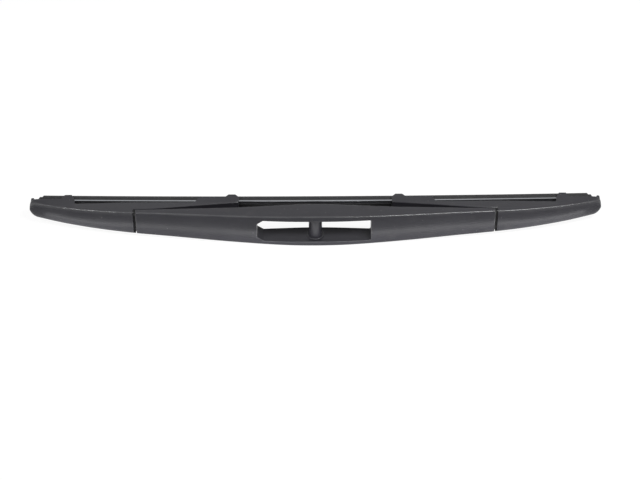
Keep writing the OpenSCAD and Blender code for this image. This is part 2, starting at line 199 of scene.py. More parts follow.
@dataclass(frozen=True)
class BladeForm:
    """Sizes that several pieces share, in millimetres."""

    half: float
    seam_x: float
    seam_gap: float
    arm_end: float
    rubber_end: float
    strip_end: float
    back_mid: float
    side_mid: float
    back_seam: float = 13.8
    back_tip: float = 1.4
    side_seam: float = 7.1
    side_tip: float = 4.6
    crown: float = 0.5
    edge_radius: float = 0.8
    end_radius: float = 4.0
    pin_depth: float = 15.5
    wall_edge: float = 11.1
    wall_lean: float = 4.0
    arm_gap: float = 1.1
    seam_lip: float = 0.5
    collar_reach: float = 2.0
    flank_edge: float = 3.5
    skirt_edge: float = -0.8
    arm_half_seam: float = 6.0
    bow: float = 1.8
    head_top: float = 1.9
    rubber_play: float = 0.28
    strip_thick: float = 0.8
    strip_outer: float = 3.75
    neck_half: float = 1.1
    neck_top: float = -1.4
    groove: float = 1.6
    claw_root: float = 7.4
    claw_tip: float = 3.6
    finger: float = 1.1
    strip_inner: float = 1.55
    pivot_x: float = 88.5
    lap: float = 0.4

    @classmethod
    def from_frame(
        cls, pin_depth: float = 15.5, crown: float = 0.5, seam_gap: float = 1.4
    ) -> BladeForm:
        """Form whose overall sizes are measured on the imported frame.

        Args:
            pin_depth: Depth of the arm pin's centre, where the frame has its origin.
            crown: Rise of the back between its edges.
            seam_gap: Width of the seams between the bridge and the end covers.

        Returns:
            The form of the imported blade.
        """
        bridge_low, bridge_high = (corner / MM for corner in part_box("bridge"))
        yoke_low, yoke_high = (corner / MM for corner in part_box("right_yoke"))
        return cls(
            half=yoke_high.x,
            seam_x=bridge_high.x + seam_gap / 2,
            seam_gap=seam_gap,
            arm_end=yoke_low.x,
            rubber_end=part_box("squeegee")[1].x / MM,
            strip_end=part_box("upper_strip")[1].x / MM,
            back_mid=pin_depth - bridge_low.y - crown,
            side_mid=bridge_high.z,
            pin_depth=pin_depth,
            crown=crown,
        )

    @property
    def bridge_half(self) -> float:
        """Distance of the bridge's ends from the middle."""
        return self.seam_x - self.seam_gap / 2

    @property
    def cover_start(self) -> float:
        """Distance of the end covers' seam faces from the middle."""
        return self.seam_x + self.seam_gap / 2

    @property
    def claw_clear(self) -> float:
        """Half width of the room between the claws."""
        return self.strip_outer + self.rubber_play

    @property
    def bow_radius(self) -> float:
        """Radius of the squeegee's bow."""
        return (self.rubber_end**2 + self.bow**2) / (2 * self.bow)

    @property
    def back_line(self) -> SmoothLine:
        """Edge of the back, seen from the side."""
        inner = ((0.2, 0.05), (0.47, 0.315), (0.8, 0.755))
        outer = ((0.32, 0.2), (0.65, 0.51), (0.9, 0.845))
        return SmoothLine(
            (
                (0.0, self.back_mid),
                *[(s * self.seam_x, mix(self.back_mid, self.back_seam, t)) for s, t in inner],
                (self.seam_x, self.back_seam),
                *[
                    (mix(self.seam_x, self.half, s), mix(self.back_seam, self.back_tip, t))
                    for s, t in outer
                ],
                (self.half, self.back_tip),
            )
        )

    @property
    def side_line(self) -> SmoothLine:
        """Edge of the back, seen from above."""
        inner = ((0.36, 0.27), (0.69, 0.61))
        return SmoothLine(
            (
                (0.0, self.side_mid),
                *[(s * self.seam_x, mix(self.side_mid, self.side_seam, t)) for s, t in inner],
                (self.seam_x, self.side_seam),
                (mix(self.seam_x, self.half, 0.65), mix(self.side_seam, self.side_tip, 0.66)),
                (self.half, self.side_tip),
            )
        )

    def back_depth(self, x: float) -> float:
        """Depth of the back's edges at x."""
        return self.back_line.at(abs(x))

    def back_half(self, x: float) -> float:
        """Half width of the back at x, rounded in at the tips.

        Args:
            x: Distance from the middle.

        Returns:
            The half width.
        """
        into_round = min(self.end_radius, max(0.0, abs(x) - self.half + self.end_radius))
        round_in = self.end_radius - math.sqrt(self.end_radius**2 - into_round**2)
        return self.side_line.at(abs(x)) - round_in

    def lean(self, x: float, depth: float) -> float:
        """How far the bridge's walls lean in at x between the back's edge and a depth."""
        return math.tan(math.radians(self.wall_lean)) * (self.back_depth(x) - depth)

    def sag(self, x: float) -> float:
        """How far the bowed strips lie towards the glass at x."""
        return self.bow_radius - math.sqrt(self.bow_radius**2 - x * x)

    def claw_line(self, x: float, centre: float) -> float:
        """Lower edge of the claw at centre: a trapezoid whose sides run up steeply beyond its root.

        Args:
            x: Distance from the middle.
            centre: Distance of the claw from the middle.

        Returns:
            The depth of the lower edge.
        """
        base = self.skirt_edge + 0.6
        tip = self.neck_top - (self.groove - self.finger) / 2 - self.finger - self.sag(centre)
        off = abs(x - centre)
        if off > self.claw_root / 2:
            return base + (off - self.claw_root / 2) * 12
        up = (off - self.claw_tip / 2) / (self.claw_root - self.claw_tip) * 2
        return mix(tip, base, max(0.0, up))

    def claw_stations(self, centre: float) -> list[float]:
        """Distances from the middle at which the claw at centre changes direction."""
        reach = (self.claw_root / 2 + 0.25, self.claw_root / 2, self.claw_tip / 2)
        return [centre + side * r for side in (-1, 1) for r in reach]

    def point(self, x: float, depth: float, z: float) -> Vector:
        """Place in the frame, in millimetres, of a point given by its depth."""
        return Vector((x, self.pin_depth - depth, z))


@dataclass(frozen=True)
class BackSection:
    """Crowned back with filleted edges at one distance from the middle."""

    half_width: float
    depth: float
    radius: float
    crown: float
    fillet_steps: int = 4

    @property
    def turn(self) -> float:
        """Angle through which the fillet turns before it meets the crown tangentially."""
        return math.pi / 2 - math.atan(2 * self.crown / (self.half_width - self.radius))

    @property
    def crown_half(self) -> float:
        """Half width of the crown between the fillets."""
        return self.half_width - self.radius * (1 - math.cos(self.turn))

    def crown_depth(self, z: float) -> float:
        """Depth of the crown at z."""
        edge = self.depth - self.radius * (1 - math.sin(self.turn))
        return edge + self.crown * (1 - (z / self.crown_half) ** 2)

    def fillet(self) -> list[tuple[float, float]]:
        """Points (z, depth) of the fillet, from the wall to the crown.

        Returns:
            The points in order.
        """
        angles = [self.turn * i / self.fillet_steps for i in range(self.fillet_steps + 1)]
        return [
            (
                self.half_width - self.radius * (1 - math.cos(a)),
                self.depth - self.radius * (1 - math.sin(a)),
            )
            for a in angles
        ]


class Workpiece:
    """A mesh in the making, held in millimetres until it is finished."""

    SEWN = 0.002
    SHARP = math.radians(38)
    SHADED_SHARP = math.radians(50)
    ROD_SEGMENTS = 64
    CREASE_TURN = 0.12
    CREASE_FADE = (0.1, 0.4)
    EDGE_LAYER = "edge_band"
    SEAM_SHADE_LAYER = "painted_seam_shade"

    def __init__(self, form: BladeForm) -> None:
        """Starts an empty mesh.

        Args:
            form: Sizes of the blade, which turn depths into places.
        """
        self.form = form
        self.bm = bmesh.new()
        self.edge_band = self.bm.loops.layers.float.new(self.EDGE_LAYER)
        self.painted_shade = self.bm.loops.layers.float.new(self.SEAM_SHADE_LAYER)

    def sheet(
        self,
        sections: Sequence[Sequence[Vector]],
        left_out: Callable[[Vector], bool] | None = None,
    ) -> list[bmesh.types.BMVert]:
        """Lays a grid over sections of equal length.

        Args:
            sections: Points of each section, one section a column.
            left_out: Says whether the face with this centre is left out.

        Returns:
            The grid's vertices that are left.
        """
        columns, rows = len(sections), len(sections[0])
        verts = bmesh.ops.create_grid(
            self.bm, x_segments=columns - 1, y_segments=rows - 1, size=1
        )["verts"]
        for number, vert in enumerate(verts):
            row, column = divmod(number, columns)
            vert.co = sections[column][row]
        if left_out is None:
            return verts
        faces = {face for vert in verts for face in vert.link_faces}
        gone = [face for face in faces if left_out(face.calc_center_median())]
        bmesh.ops.delete(self.bm, geom=gone, context="FACES")
        return [vert for vert in verts if vert.is_valid]

    def sew(self) -> None:
        """Joins the sheets where their borders meet."""
        bmesh.ops.remove_doubles(self.bm, verts=self.bm.verts, dist=self.SEWN)
        bmesh.ops.dissolve_degenerate(self.bm, edges=self.bm.edges, dist=self.SEWN / 2)

    def border(self) -> list[bmesh.types.BMEdge]:
        """Edges that have one face only."""
        return [edge for edge in self.bm.edges if len(edge.link_faces) == 1]

    def close(self) -> None:
        """Closes every hole that is left with a flat face and points all faces outwards."""
        bmesh.ops.holes_fill(self.bm, edges=self.border(), sides=0)
        bmesh.ops.recalc_face_normals(self.bm, faces=self.bm.faces)

    def prism(self, outline: Outline, z0: float, z1: float) -> None:
        """Adds a plate.

        Args:
            outline: Side view of the plate as (x, depth).
            z0: Its lower face.
            z1: Its upper face.
        """
        verts = [self.bm.verts.new(self.form.point(x, depth, z0)) for x, depth in outline]
        face = bmesh.ops.contextual_create(self.bm, geom=verts)["faces"]
        raised = bmesh.ops.extrude_face_region(self.bm, geom=face)["geom"]
        moved = [item for item in raised if isinstance(item, bmesh.types.BMVert)]
        bmesh.ops.translate(self.bm, verts=moved, vec=(0, 0, z1 - z0))

    def rod(self, x: float, depth: float, radius: float, z0: float, z1: float) -> None:
        """Adds a round rod along Z.

        Args:
            x: Place of its axis along the blade.
            depth: Depth of its axis.
            radius: Its radius.
            z0: Its lower end.
            z1: Its upper end.
        """
        centre = self.form.point(x, depth, (z0 + z1) / 2)
        bmesh.ops.create_cone(
            self.bm,
            cap_ends=True,
            segments=self.ROD_SEGMENTS,
            radius1=radius,
            radius2=radius,
            depth=abs(z1 - z0),
            matrix=Matrix.Translation(centre),
        )

    def soften(
        self,
        width: float,
        steps: int = 2,
        kept_sharp: Callable[[Vector], bool] | None = None,
    ) -> None:
        """Rounds the sharp edges and marks the narrow bands that this makes.

        Args:
            width: Width of the rounding.
            steps: Faces across each rounding.
            kept_sharp: Says whether the edge with this middle stays as it is.
        """
        sharp = [
            edge
            for edge in self.bm.edges
            if len(edge.link_faces) == 2
            and edge.calc_face_angle(0.0) > self.SHARP
            and not (kept_sharp and kept_sharp((edge.verts[0].co + edge.verts[1].co) / 2))
        ]
        made = bmesh.ops.bevel(
            self.bm,
            geom=sharp,
            offset=width,
            offset_type="OFFSET",
            segments=steps,
            profile=0.5,
            affect="EDGES",
            clamp_overlap=True,
            material=-1,
        )
        for face in made["faces"]:
            for loop in face.loops:
                loop[self.edge_band] = 1.0

    def mark_crease(self, outside: Callable[[Vector], bool]) -> None:
        """Marks the fillets between the back and the side walls as edge bands, fading to both sides.

        Args:
            outside: Says whether the face with this centre belongs to the piece's outer skin.
        """
        self.bm.normal_update()
        for face in self.bm.faces:
            turned = min(-face.normal.y, abs(face.normal.z))
            if turned < self.CREASE_TURN or not outside(face.calc_center_median()):
                continue
            for loop in face.loops:
                turned = min(-loop.vert.normal.y, abs(loop.vert.normal.z))
                loop[self.edge_band] = max(loop[self.edge_band], ease(*self.CREASE_FADE, turned))

    def mark_painted_shade(self, inside: Callable[[Vector], bool]) -> None:
        """Marks the faces in a narrow joint, which the plastic's material paints near black as shade
        and makes dull.

        Args:
            inside: Says whether the face with this centre lies in the joint.
        """
        for face in self.bm.faces:
            if inside(face.calc_center_median()):
                for loop in face.loops:
                    loop[self.painted_shade] = 1.0

    def mirror_across_middle(self) -> None:
        """Turns a right-hand piece into a left-hand one."""
        bmesh.ops.scale(self.bm, vec=(-1, 1, 1), verts=self.bm.verts)
        bmesh.ops.recalc_face_normals(self.bm, faces=self.bm.faces)

    def finish(self, name: str) -> bpy.types.Object:
        """Scales the mesh to metres and makes an object of it.

        Args:
            name: Name of the object.

        Returns:
            The object, at the origin and unturned.
        """
        bmesh.ops.scale(self.bm, vec=(MM, MM, MM), verts=self.bm.verts)
        mesh = bpy.data.meshes.new(name)
        self.bm.to_mesh(mesh)
        self.bm.free()
        mesh.shade_smooth()
        mesh.set_sharp_from_angle(angle=self.SHADED_SHARP)
        piece = bpy.data.objects.new(name, mesh)
        bpy.context.scene.collection.objects.link(piece)
        weighted = piece.modifiers.new("even_shading", "WEIGHTED_NORMAL")
        weighted.keep_sharp = True
        return piece


@dataclass(frozen=True)
class Bridge:
    """The main moulding: a crowned back over two walls, with a window for the arm pin."""

    form: BladeForm
    window_left: float = 30.8
    window_right: float = 29.3
    window_half: float = 6.7
    chamfer_x: float = 3.3
    chamfer_z: float = 2.4
    corner_right: float = 0.9
    corner_steps: int = 4
    frame_bar: float = 1.8
    cheek_run: float = 6.0
    wall: float = 1.6
    back_wall: float = 1.8
    line_share: float = 0.78
    line_run: tuple[float, float] = (33.0, 55.0)
    mouth_inset: float = 0.3
    wall_dip: float = 1.6
    dip_half: float = 45.0
    collar_room: float = 0.7
    shoulder: float = 0.4
    rib: float = 1.2
    rib_x: tuple[float, ...] = (50.0, 68.0)
    pin_radius: float = 3.5
    boss_rise: float = 0.5
    boss_ring: float = 1.0
    pivot_depth: float = 6.9
    pivot_cheek: float = 3.86
    eye_wall: float = 0.6
    cheek: float = 1.5
    trunnion: float = 1.5
    trunnion_length: float = 1.3
    rounding: float = 0.25

    def free_edge(self, x: float) -> float:
        """Depth of the walls' free edge at x, which dips at the middle."""
        return self.form.wall_edge - self.wall_dip * (1 - ease(0, self.dip_half, abs(x)))

    def foot(self, x: float) -> float:
        """Half width over the walls' free edges at x."""
        return self.form.back_half(x) - self.form.lean(x, self.free_edge(x))

    @property
    def rebate_start(self) -> float:
        """Distance from the middle from which the walls and the back leave room for a collar."""
        return self.form.bridge_half - self.form.collar_reach - self.collar_room

    def skin(self, x: float, full: float) -> float:
        """Thickness at x of a wall that thins out to a lip over the yoke's collar."""
        thinned = ease(self.rebate_start - self.shoulder, self.rebate_start, abs(x))
        return mix(full, self.form.seam_lip, thinned)

    def room_half(self, x: float, depth: float) -> float:
        """Half width inside the bridge, narrow beside the window and wide in the two rooms.

        Args:
            x: Distance from the middle.
            depth: Depth at which it is measured.

        Returns:
            The half width.
        """
        thin = self.form.back_half(x) - self.form.lean(x, depth) - self.skin(x, self.wall)
        start = self.window_left + self.frame_bar
        return mix(self.window_half, thin, ease(start, start + self.cheek_run, abs(x)))

    def section(self, x: float) -> BackSection:
        """Outer section of the back at x."""
        form = self.form
        return BackSection(form.back_half(x), form.back_depth(x), form.edge_radius, form.crown)

    def corner_reach(self, x: float) -> tuple[float, float]:
        """How far the window's corners on the side of x reach along the blade and across it."""
        return (self.chamfer_x, self.chamfer_z) if x < 0 else (self.corner_right, self.corner_right)

    def window_end(self, x: float) -> float:
        """Distance from the middle of the window's end on the side of x."""
        return self.window_left if x < 0 else self.window_right

    def in_window(self, centre: Vector) -> bool:
        """Whether a face with this centre lies in the window."""
        return abs(centre.x) < self.window_end(centre.x) and abs(centre.z) < self.window_half

    def cut_corner(self, x: float, z: float) -> tuple[float, float]:
        """Moves a point on the window's square outline onto its chamfered or rounded one.

        Args:
            x: Distance from the middle.
            z: Distance from the middle plane.

        Returns:
            The point's new x and z.
        """
        end, (along, across) = self.window_end(x), self.corner_reach(x)
        from_end, from_side = end - abs(x), self.window_half - abs(z)
        on_outline = min(abs(from_end), abs(from_side)) < 1e-3 and min(from_end, from_side) > -1e-3
        if not on_outline or from_end > along or from_side > across:
            return x, z
        share = (1 - from_end / along + from_side / across) / 2
        back, aside = 1 - share, share
        if x > 0:
            angle = share * math.pi / 2
            back, aside = 1 - math.sin(angle), 1 - math.cos(angle)
        new_x, new_z = end - along * back, self.window_half - across * aside
        return math.copysign(new_x, x), math.copysign(new_z, z)

    def columns(self) -> list[float]:
        """Distances from the middle at which all sheets of the bridge have their sections.

        Returns:
            The distances in order.
        """
        places = []
        for side in (-1, 1):
            end, (along, _) = self.window_end(side), self.corner_reach(side)
            places += [side * x for x in stations(0, end - along, 3)]
            places += [side * (end - along * i / self.corner_steps) for i in range(self.corner_steps)]
            rebate, bridge_end = self.rebate_start, self.form.bridge_half
            beyond_bar = stations(end + self.frame_bar, rebate - self.shoulder, COLUMN_STEP)
            places += [side * x for x in (*beyond_bar, *stations(rebate, bridge_end, COLUMN_STEP))]
        return in_order(places)

    def window_rows(self, x: float, edge: float) -> list[float]:
        """Distances from the middle plane of the rows between the window's side line and the middle.

        Args:
            x: Distance from the middle.
            edge: Distance of the window's side line from the middle plane.

        Returns:
            The distances, from the side line to 0.
        """
        _, across = self.corner_reach(x)
        near = [edge - across * i / self.corner_steps for i in range(self.corner_steps + 1)]
        return [*near, near[-1] / 2, 0.0]

    def outer_points(self, x: float) -> list[Vector]:
        """Section of the outer sheet at x, from one free edge over the back to the other.

        Args:
            x: Distance from the middle.

        Returns:
            The points in order.
        """
        section = self.section(x)
        line = mix(
            self.window_half, self.line_share * section.crown_half, ease(*self.line_run, abs(x))
        )
        wall_top = section.depth - section.radius
        free = self.free_edge(x)
        outline = [
            (self.foot(x), free),
            (mix(self.foot(x), section.half_width, 0.5), mix(free, wall_top, 0.5)),
            *section.fillet(),
        ]
        for z in (mix(section.crown_half, line, 0.5), *self.window_rows(x, line)):
            outline.append((z, section.crown_depth(z)))
        return [self.form.point(x, depth, z) for z, depth in both_sides(outline)]

    def under_points(self, x: float) -> list[Vector]:
        """Section of the flat under-side at x, from one free edge to the other.

        Args:
            x: Distance from the middle.

        Returns:
            The points in order.
        """
        free = self.free_edge(x)
        beside = self.room_half(x, free)
        if abs(x) < self.window_end(x) + self.frame_bar - 0.01:
            beside = mix(self.foot(x), self.window_half, 0.6)
        line = min(self.window_half, beside - self.mouth_inset)
        rows = [self.foot(x), beside, *self.window_rows(x, line)]
        return [self.form.point(x, free, z) for z, _ in both_sides([(z, free) for z in rows])]

    def room_points(self, x: float) -> list[Vector]:
        """Section of a room inside the bridge at x, from one free edge over the ceiling to the other.

        Args:
            x: Distance from the middle.

        Returns:
            The points in order.
        """
        roof = self.form.back_depth(x) - self.skin(x, self.back_wall)
        free = self.free_edge(x)
        top_half = self.room_half(x, roof)
        outline = [
            (self.room_half(x, free), free),
            (top_half, roof - 0.6),
            (top_half - 0.2, roof - 0.2),
            (top_half - 0.6, roof),
            (top_half / 2, roof + 0.75 * self.form.crown),
            (0.0, roof + self.form.crown),
        ]
        return [self.form.point(x, depth, z) for z, depth in both_sides(outline)]

    def in_a_room(self, centre: Vector) -> bool:
        """Whether a face of the under-side with this centre is a room's open mouth.

        Args:
            centre: Middle of the face.

        Returns:
            Whether it is one.
        """
        beyond_bar = abs(centre.x) > self.window_end(centre.x) + self.frame_bar
        depth = self.form.pin_depth - centre.y
        return beyond_bar and abs(centre.z) < self.room_half(centre.x, depth) - 0.02

    def shape_shell(self, work: Workpiece) -> None:
        """Sews the outer sheet, the under-side and the two rooms, and cuts the window through.

        Args:
            work: The mesh to add to.
        """
        columns = self.columns()
        outer = work.sheet([self.outer_points(x) for x in columns], self.in_window)
        under = work.sheet(
            [self.under_points(x) for x in columns],
            lambda centre: self.in_window(centre) or self.in_a_room(centre),
        )
        for vert in outer + under:
            if not vert.is_boundary:
                continue
            x, z = self.cut_corner(vert.co.x, vert.co.z)
            if (x, z) != (vert.co.x, vert.co.z):
                on_back = vert.co.y < self.form.pin_depth - self.free_edge(x) - 1
                depth = self.section(x).crown_depth(z) if on_back else self.free_edge(x)
                vert.co = self.form.point(x, depth, z)
        rims = [
            edge
            for edge in work.border()
            if all(
                self.in_window(Vector((v.co.x * 0.999, 0, v.co.z * 0.999))) for v in edge.verts
            )
        ]
        bmesh.ops.bridge_loops(work.bm, edges=rims)
        for side in (-1, 1):
            bar = self.window_end(side) + self.frame_bar
            room = [x for x in columns if side * x > bar - 0.01]
            work.sheet([self.room_points(x) for x in room])
        work.sew()
        work.close()

    def in_rebate(self, middle: Vector) -> bool:
        """Whether an edge with this middle lies inside one of the two thin lips at the seams.

        Args:
            middle: Middle of the edge.

        Returns:
            Whether it does.
        """
        form = self.form
        if abs(middle.x) < self.rebate_start - self.shoulder - 0.1:
            return False
        depth = form.pin_depth - middle.y
        inset = form.back_half(middle.x) - form.lean(middle.x, depth) - abs(middle.z)
        return inset > form.seam_lip / 2 and depth < form.back_depth(middle.x) - form.seam_lip / 2

    def add_ribs(self, work: Workpiece) -> None:
        """Adds the cross ribs in the two rooms, let into the walls.

        Args:
            work: The mesh to add to.
        """
        for x in (side * place for side in (-1, 1) for place in self.rib_x):
            depth = self.form.back_depth(x)
            edge = mix(self.form.wall_edge, depth, 0.3)
            top = depth - self.back_wall + self.form.lap
            reach = self.form.back_half(x) - self.wall + self.form.lap / 2
            left, right = x - self.rib / 2, x + self.rib / 2
            work.prism([(left, edge), (right, edge), (right, top), (left, top)], -reach, reach)

    def add_pivots(self, work: Workpiece) -> None:
        """Adds the cheeks with the trunnions that the yokes rock on.

        Args:
            work: The mesh to add to.
        """
        radius = self.trunnion + self.eye_wall
        top = self.form.back_depth(self.form.pivot_x) - self.back_wall + self.form.lap
        for side_x in (-1, 1):
            x = side_x * self.form.pivot_x
            arc = [math.radians(a) for a in range(180, 361, 15)]
            outline = [(x + radius * math.cos(a), self.pivot_depth + radius * math.sin(a)) for a in arc]
            outline += [(x + radius, top), (x - radius, top)]
            for side in (-1, 1):
                inner, outer = side * (self.pivot_cheek - self.cheek), side * self.pivot_cheek
                work.prism(outline, min(inner, outer), max(inner, outer))
                tip = outer + side * self.trunnion_length
                root = outer - side * self.form.lap
                work.rod(x, self.pivot_depth, self.trunnion, min(root, tip), max(root, tip))

    def add_pin_bosses(self, work: Workpiece) -> None:
        """Adds the raised rings round the arm pin's ends.

        Args:
            work: The mesh to add to.
        """
        for side in (-1, 1):
            inner = side * (self.window_half - self.boss_rise)
            outer = side * (self.window_half + self.form.lap)
            radius = self.pin_radius + self.boss_ring
            work.rod(0, self.form.pin_depth, radius, min(inner, outer), max(inner, outer))

    def build(self) -> bpy.types.Object:
        """Models the bridge.

        Returns:
            The finished bridge.
        """
        work = Workpiece(self.form)
        self.shape_shell(work)
        self.add_ribs(work)
        self.add_pivots(work)
        self.add_pin_bosses(work)
        bmesh.ops.recalc_face_normals(work.bm, faces=work.bm.faces)
        work.soften(self.rounding, kept_sharp=self.in_rebate)
        work.mark_crease(lambda centre: abs(centre.z) > self.window_half)
        # The seam faces at the bridge's ends are marked for painted shade: the plastic is painted near
        # black there.
        work.mark_painted_shade(lambda centre: abs(centre.x) > self.form.bridge_half - 0.02)
        piece = work.finish("bridge_moulding")
        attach(piece, "bridge")
        return hand_over(piece, "bridge", "moulded_plastic")


@dataclass(frozen=True)
class ArmPin:
    """Round cross pin that the wiper arm holds."""

    form: BladeForm
    rounding: float = 0.3

    def build(self) -> bpy.types.Object:
        """Models the pin between the bridge's cheeks.

        Returns:
            The finished pin.
        """
        low, high = (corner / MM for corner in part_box("arm_pin"))
        work = Workpiece(self.form)
        work.rod(0, self.form.pin_depth, high.y, low.z, high.z)
        work.soften(self.rounding, steps=3)
        piece = work.finish("arm_pin_moulding")
        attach(piece, "bridge")
        return hand_over(piece, "arm_pin", "moulded_plastic")


class Side(Enum):
    """End of the blade that a yoke carries."""

    LEFT = "left"
    RIGHT = "right"


@dataclass(frozen=True)
class Yoke:
    """End moulding: a cover that carries on the bridge's back, and an arm under the bridge."""

    form: BladeForm
    side: Side
    claw_to_tip: float = 20.5
    foot_half: float = 5.1
    cover_wall: float = 1.3
    end_wall: float = 2.2
    arm_half_end: float = 5.9
    arm_height_end: float = 1.6
    skirt_length: float = 20.7
    skirt_rise: float = 3.0
    channel_start: float = 6.0
    ramp_far: float = 5.0
    ramp_near: float = 1.0
    claw_room: float = 4.0
    flank: float = 1.9
    web: float = 1.0
    chamfer: float = 0.4
    stop_half: float = 3.4
    stop_reach: float = 3.1
    tuck: float = 0.15
    collar_play: float = 0.12
    collar_rise: float = 0.5
    lug_room: float = 0.45
    lug_inset: float = 0.06
    lug_depth: float = 0.8
    rounding: float = 0.25

    @property
    def claw_outer(self) -> float:
        """Distance of the end claw from the middle."""
        return self.form.half - self.claw_to_tip

    @property
    def claw_inner(self) -> float:
        """Distance of the arm's claw from the middle."""
        return self.form.arm_end + self.form.claw_root / 2

    @property
    def skirt_inner(self) -> float:
        """Where the arm's skirt starts to rise."""
        return self.form.arm_end + self.skirt_length

    @property
    def arm_line(self) -> SmoothLine:
        """Upper edge of the arm, seen from the side."""
        low = self.form.head_top + self.form.rubber_play + self.arm_height_end
        high = self.form.wall_edge - self.form.arm_gap
        end, pivot, seam = self.form.arm_end, self.form.pivot_x, self.form.cover_start
        return SmoothLine(
            (
                (0.0, mix(low, high, -0.6)),
                (end, low),
                (mix(end, pivot, 0.5), mix(low, high, 0.47)),
                (mix(end, pivot, 0.95), mix(low, high, 0.92)),
                (mix(pivot, seam, 0.5), high),
                (seam + 1, high),
            )
        )

    def cover_edge(self, x: float) -> float:
        """Lower edge of the cover at x: raised, then a skirt, with the end claw hanging from it.

        Args:
            x: Distance from the middle.

        Returns:
            The depth of the edge.
        """
        form = self.form
        sunk = ease(self.claw_outer - self.ramp_far, self.claw_outer - self.ramp_near, x)
        skirt = mix(form.flank_edge, form.skirt_edge, sunk)
        return min(skirt, form.claw_line(x, self.claw_outer))

    def cover_foot(self, x: float) -> float:
        """Half width over the cover's lower edges at x.

        Args:
            x: Distance from the middle.

        Returns:
            The half width.
        """
        round_in = self.form.side_line.at(x) - self.form.back_half(x)
        taper = ease(self.form.seam_x, self.claw_outer, x)
        return mix(self.form.arm_half_seam, self.foot_half, taper) - round_in

    def cover_section(self, x: float) -> BackSection:
        """Outer section of the cover at x.

        Args:
            x: Distance from the middle.

        Returns:
            The section.
        """
        form = self.form
        half = form.back_half(x)
        return BackSection(half, form.back_depth(x), min(form.edge_radius, half / 3), form.crown)

    def cover_columns(self) -> list[float]:
        """Distances from the middle at which the cover's sheets have their sections.

        Returns:
            The distances in order.
        """
        form = self.form
        nose = [form.half - form.end_radius * (1 - math.sin(math.radians(a))) for a in range(0, 91, 10)]
        inner_end = form.half - self.end_wall
        far, near = self.claw_outer - self.ramp_far, self.claw_outer - self.ramp_near
        return in_order(
            [
                form.cover_start,
                *stations(form.cover_start + self.cover_wall, far, COLUMN_STEP),
                *stations(far, near, 0.8),
                *form.claw_stations(self.claw_outer),
                *stations(self.claw_outer + self.claw_room, form.half - form.end_radius, COLUMN_STEP),
                inner_end,
                *nose,
            ]
        )

    def cover_points(self, x: float) -> list[Vector]:
        """Section of the cover's outer sheet at x.

        Args:
            x: Distance from the middle.

        Returns:
            The points in order.
        """
        section = self.cover_section(x)
        foot, low = self.cover_foot(x), self.cover_edge(x)
        wall_top = section.depth - section.radius
        bend = min(self.form.flank_edge, mix(low, wall_top, 0.5))
        outline = []
        for share in (0.0, 0.25, 0.6):
            depth = mix(low, wall_top, share)
            up = max(0.0, (depth - bend) / (wall_top - bend))
            outline.append((mix(foot, section.half_width, up), depth))
        outline += section.fillet()
        for share in (0.75, 0.5, 0.25, 0.0):
            z = share * section.crown_half
            outline.append((z, section.crown_depth(z)))
        return [self.form.point(x, depth, z) for z, depth in both_sides(outline)]

    def room_foot(self, x: float) -> float:
        """Half width of the cover's room at its mouth."""
        inside = self.cover_foot(min(x, self.form.half - self.form.end_radius)) - self.cover_wall
        return max(self.form.claw_clear, inside)

    def under_points(self, x: float) -> list[Vector]:
        """Section of the cover's under-side at x.

        Args:
            x: Distance from the middle.

        Returns:
            The points in order.
        """
        foot, low = self.cover_foot(x), self.cover_edge(x)
        mouth = min(self.room_foot(x), mix(0, foot, 0.8))
        return [self.form.point(x, low, z) for z in (foot, mouth, 0.0, -mouth, -foot)]

    def room_points(self, x: float) -> list[Vector]:
        """Section of the room inside the cover at x, over the rubber's head.

        Args:
            x: Distance from the middle.

        Returns:
            The points in order.
        """
        form = self.form
        ceiling = max(
            form.back_depth(x) - self.cover_wall, form.head_top - form.sag(x) + form.rubber_play
        )
        half = min(form.back_half(form.half - form.end_radius), form.back_half(x)) - self.cover_wall
        outline = [
            (self.room_foot(x), self.cover_edge(x)),
            (self.room_foot(x), min(form.flank_edge, ceiling - 0.5)),
            (half, ceiling - 0.35),
            (half - 0.35, ceiling),
            (0.0, ceiling + form.crown / 2),
        ]
        return [form.point(x, depth, z) for z, depth in both_sides(outline)]

    def shape_cover(self, work: Workpiece) -> None:
        """Sews the cover's outer sheet, its under-side and its room.

        Args:
            work: The mesh to add to.
        """
        form = self.form
        first, last = form.cover_start + self.cover_wall, form.half - self.end_wall
        columns = self.cover_columns()

        def over_the_room(centre: Vector) -> bool:
            """Whether a face of the under-side is the room's open mouth."""
            return first < centre.x < last and abs(centre.z) < self.room_foot(centre.x) - 0.02

        work.sheet([self.cover_points(x) for x in columns])
        work.sheet([self.under_points(x) for x in columns], over_the_room)
        work.sheet([self.room_points(x) for x in columns if first - 0.01 < x < last + 0.01])
        work.sew()
        work.close()

    def arm_half(self, x: float, depth: float) -> float:
        """Half width of the arm at x and a depth: its flanks lean out as the cover's walls do.

        Args:
            x: Distance from the middle.
            depth: Depth at which it is measured.

        Returns:
            The half width.
        """
        form = self.form
        along = (x - form.arm_end) / (form.seam_x - form.arm_end)
        slope = (form.side_seam - form.arm_half_seam) / (form.back_seam - form.flank_edge)
        lean = slope * max(0.0, depth - form.flank_edge)
        return mix(self.arm_half_end, form.arm_half_seam, along) + lean

    def arm_edge(self, x: float) -> float:
        """Lower edge of the arm at x, with its claw.

        Args:
            x: Distance from the middle.

        Returns:
            The depth of the edge.
        """
        form = self.form
        risen = ease(self.skirt_inner, self.skirt_inner + self.skirt_rise, x)
        skirt = mix(form.skirt_edge, form.flank_edge, risen)
        return min(skirt, form.claw_line(x, self.claw_inner))

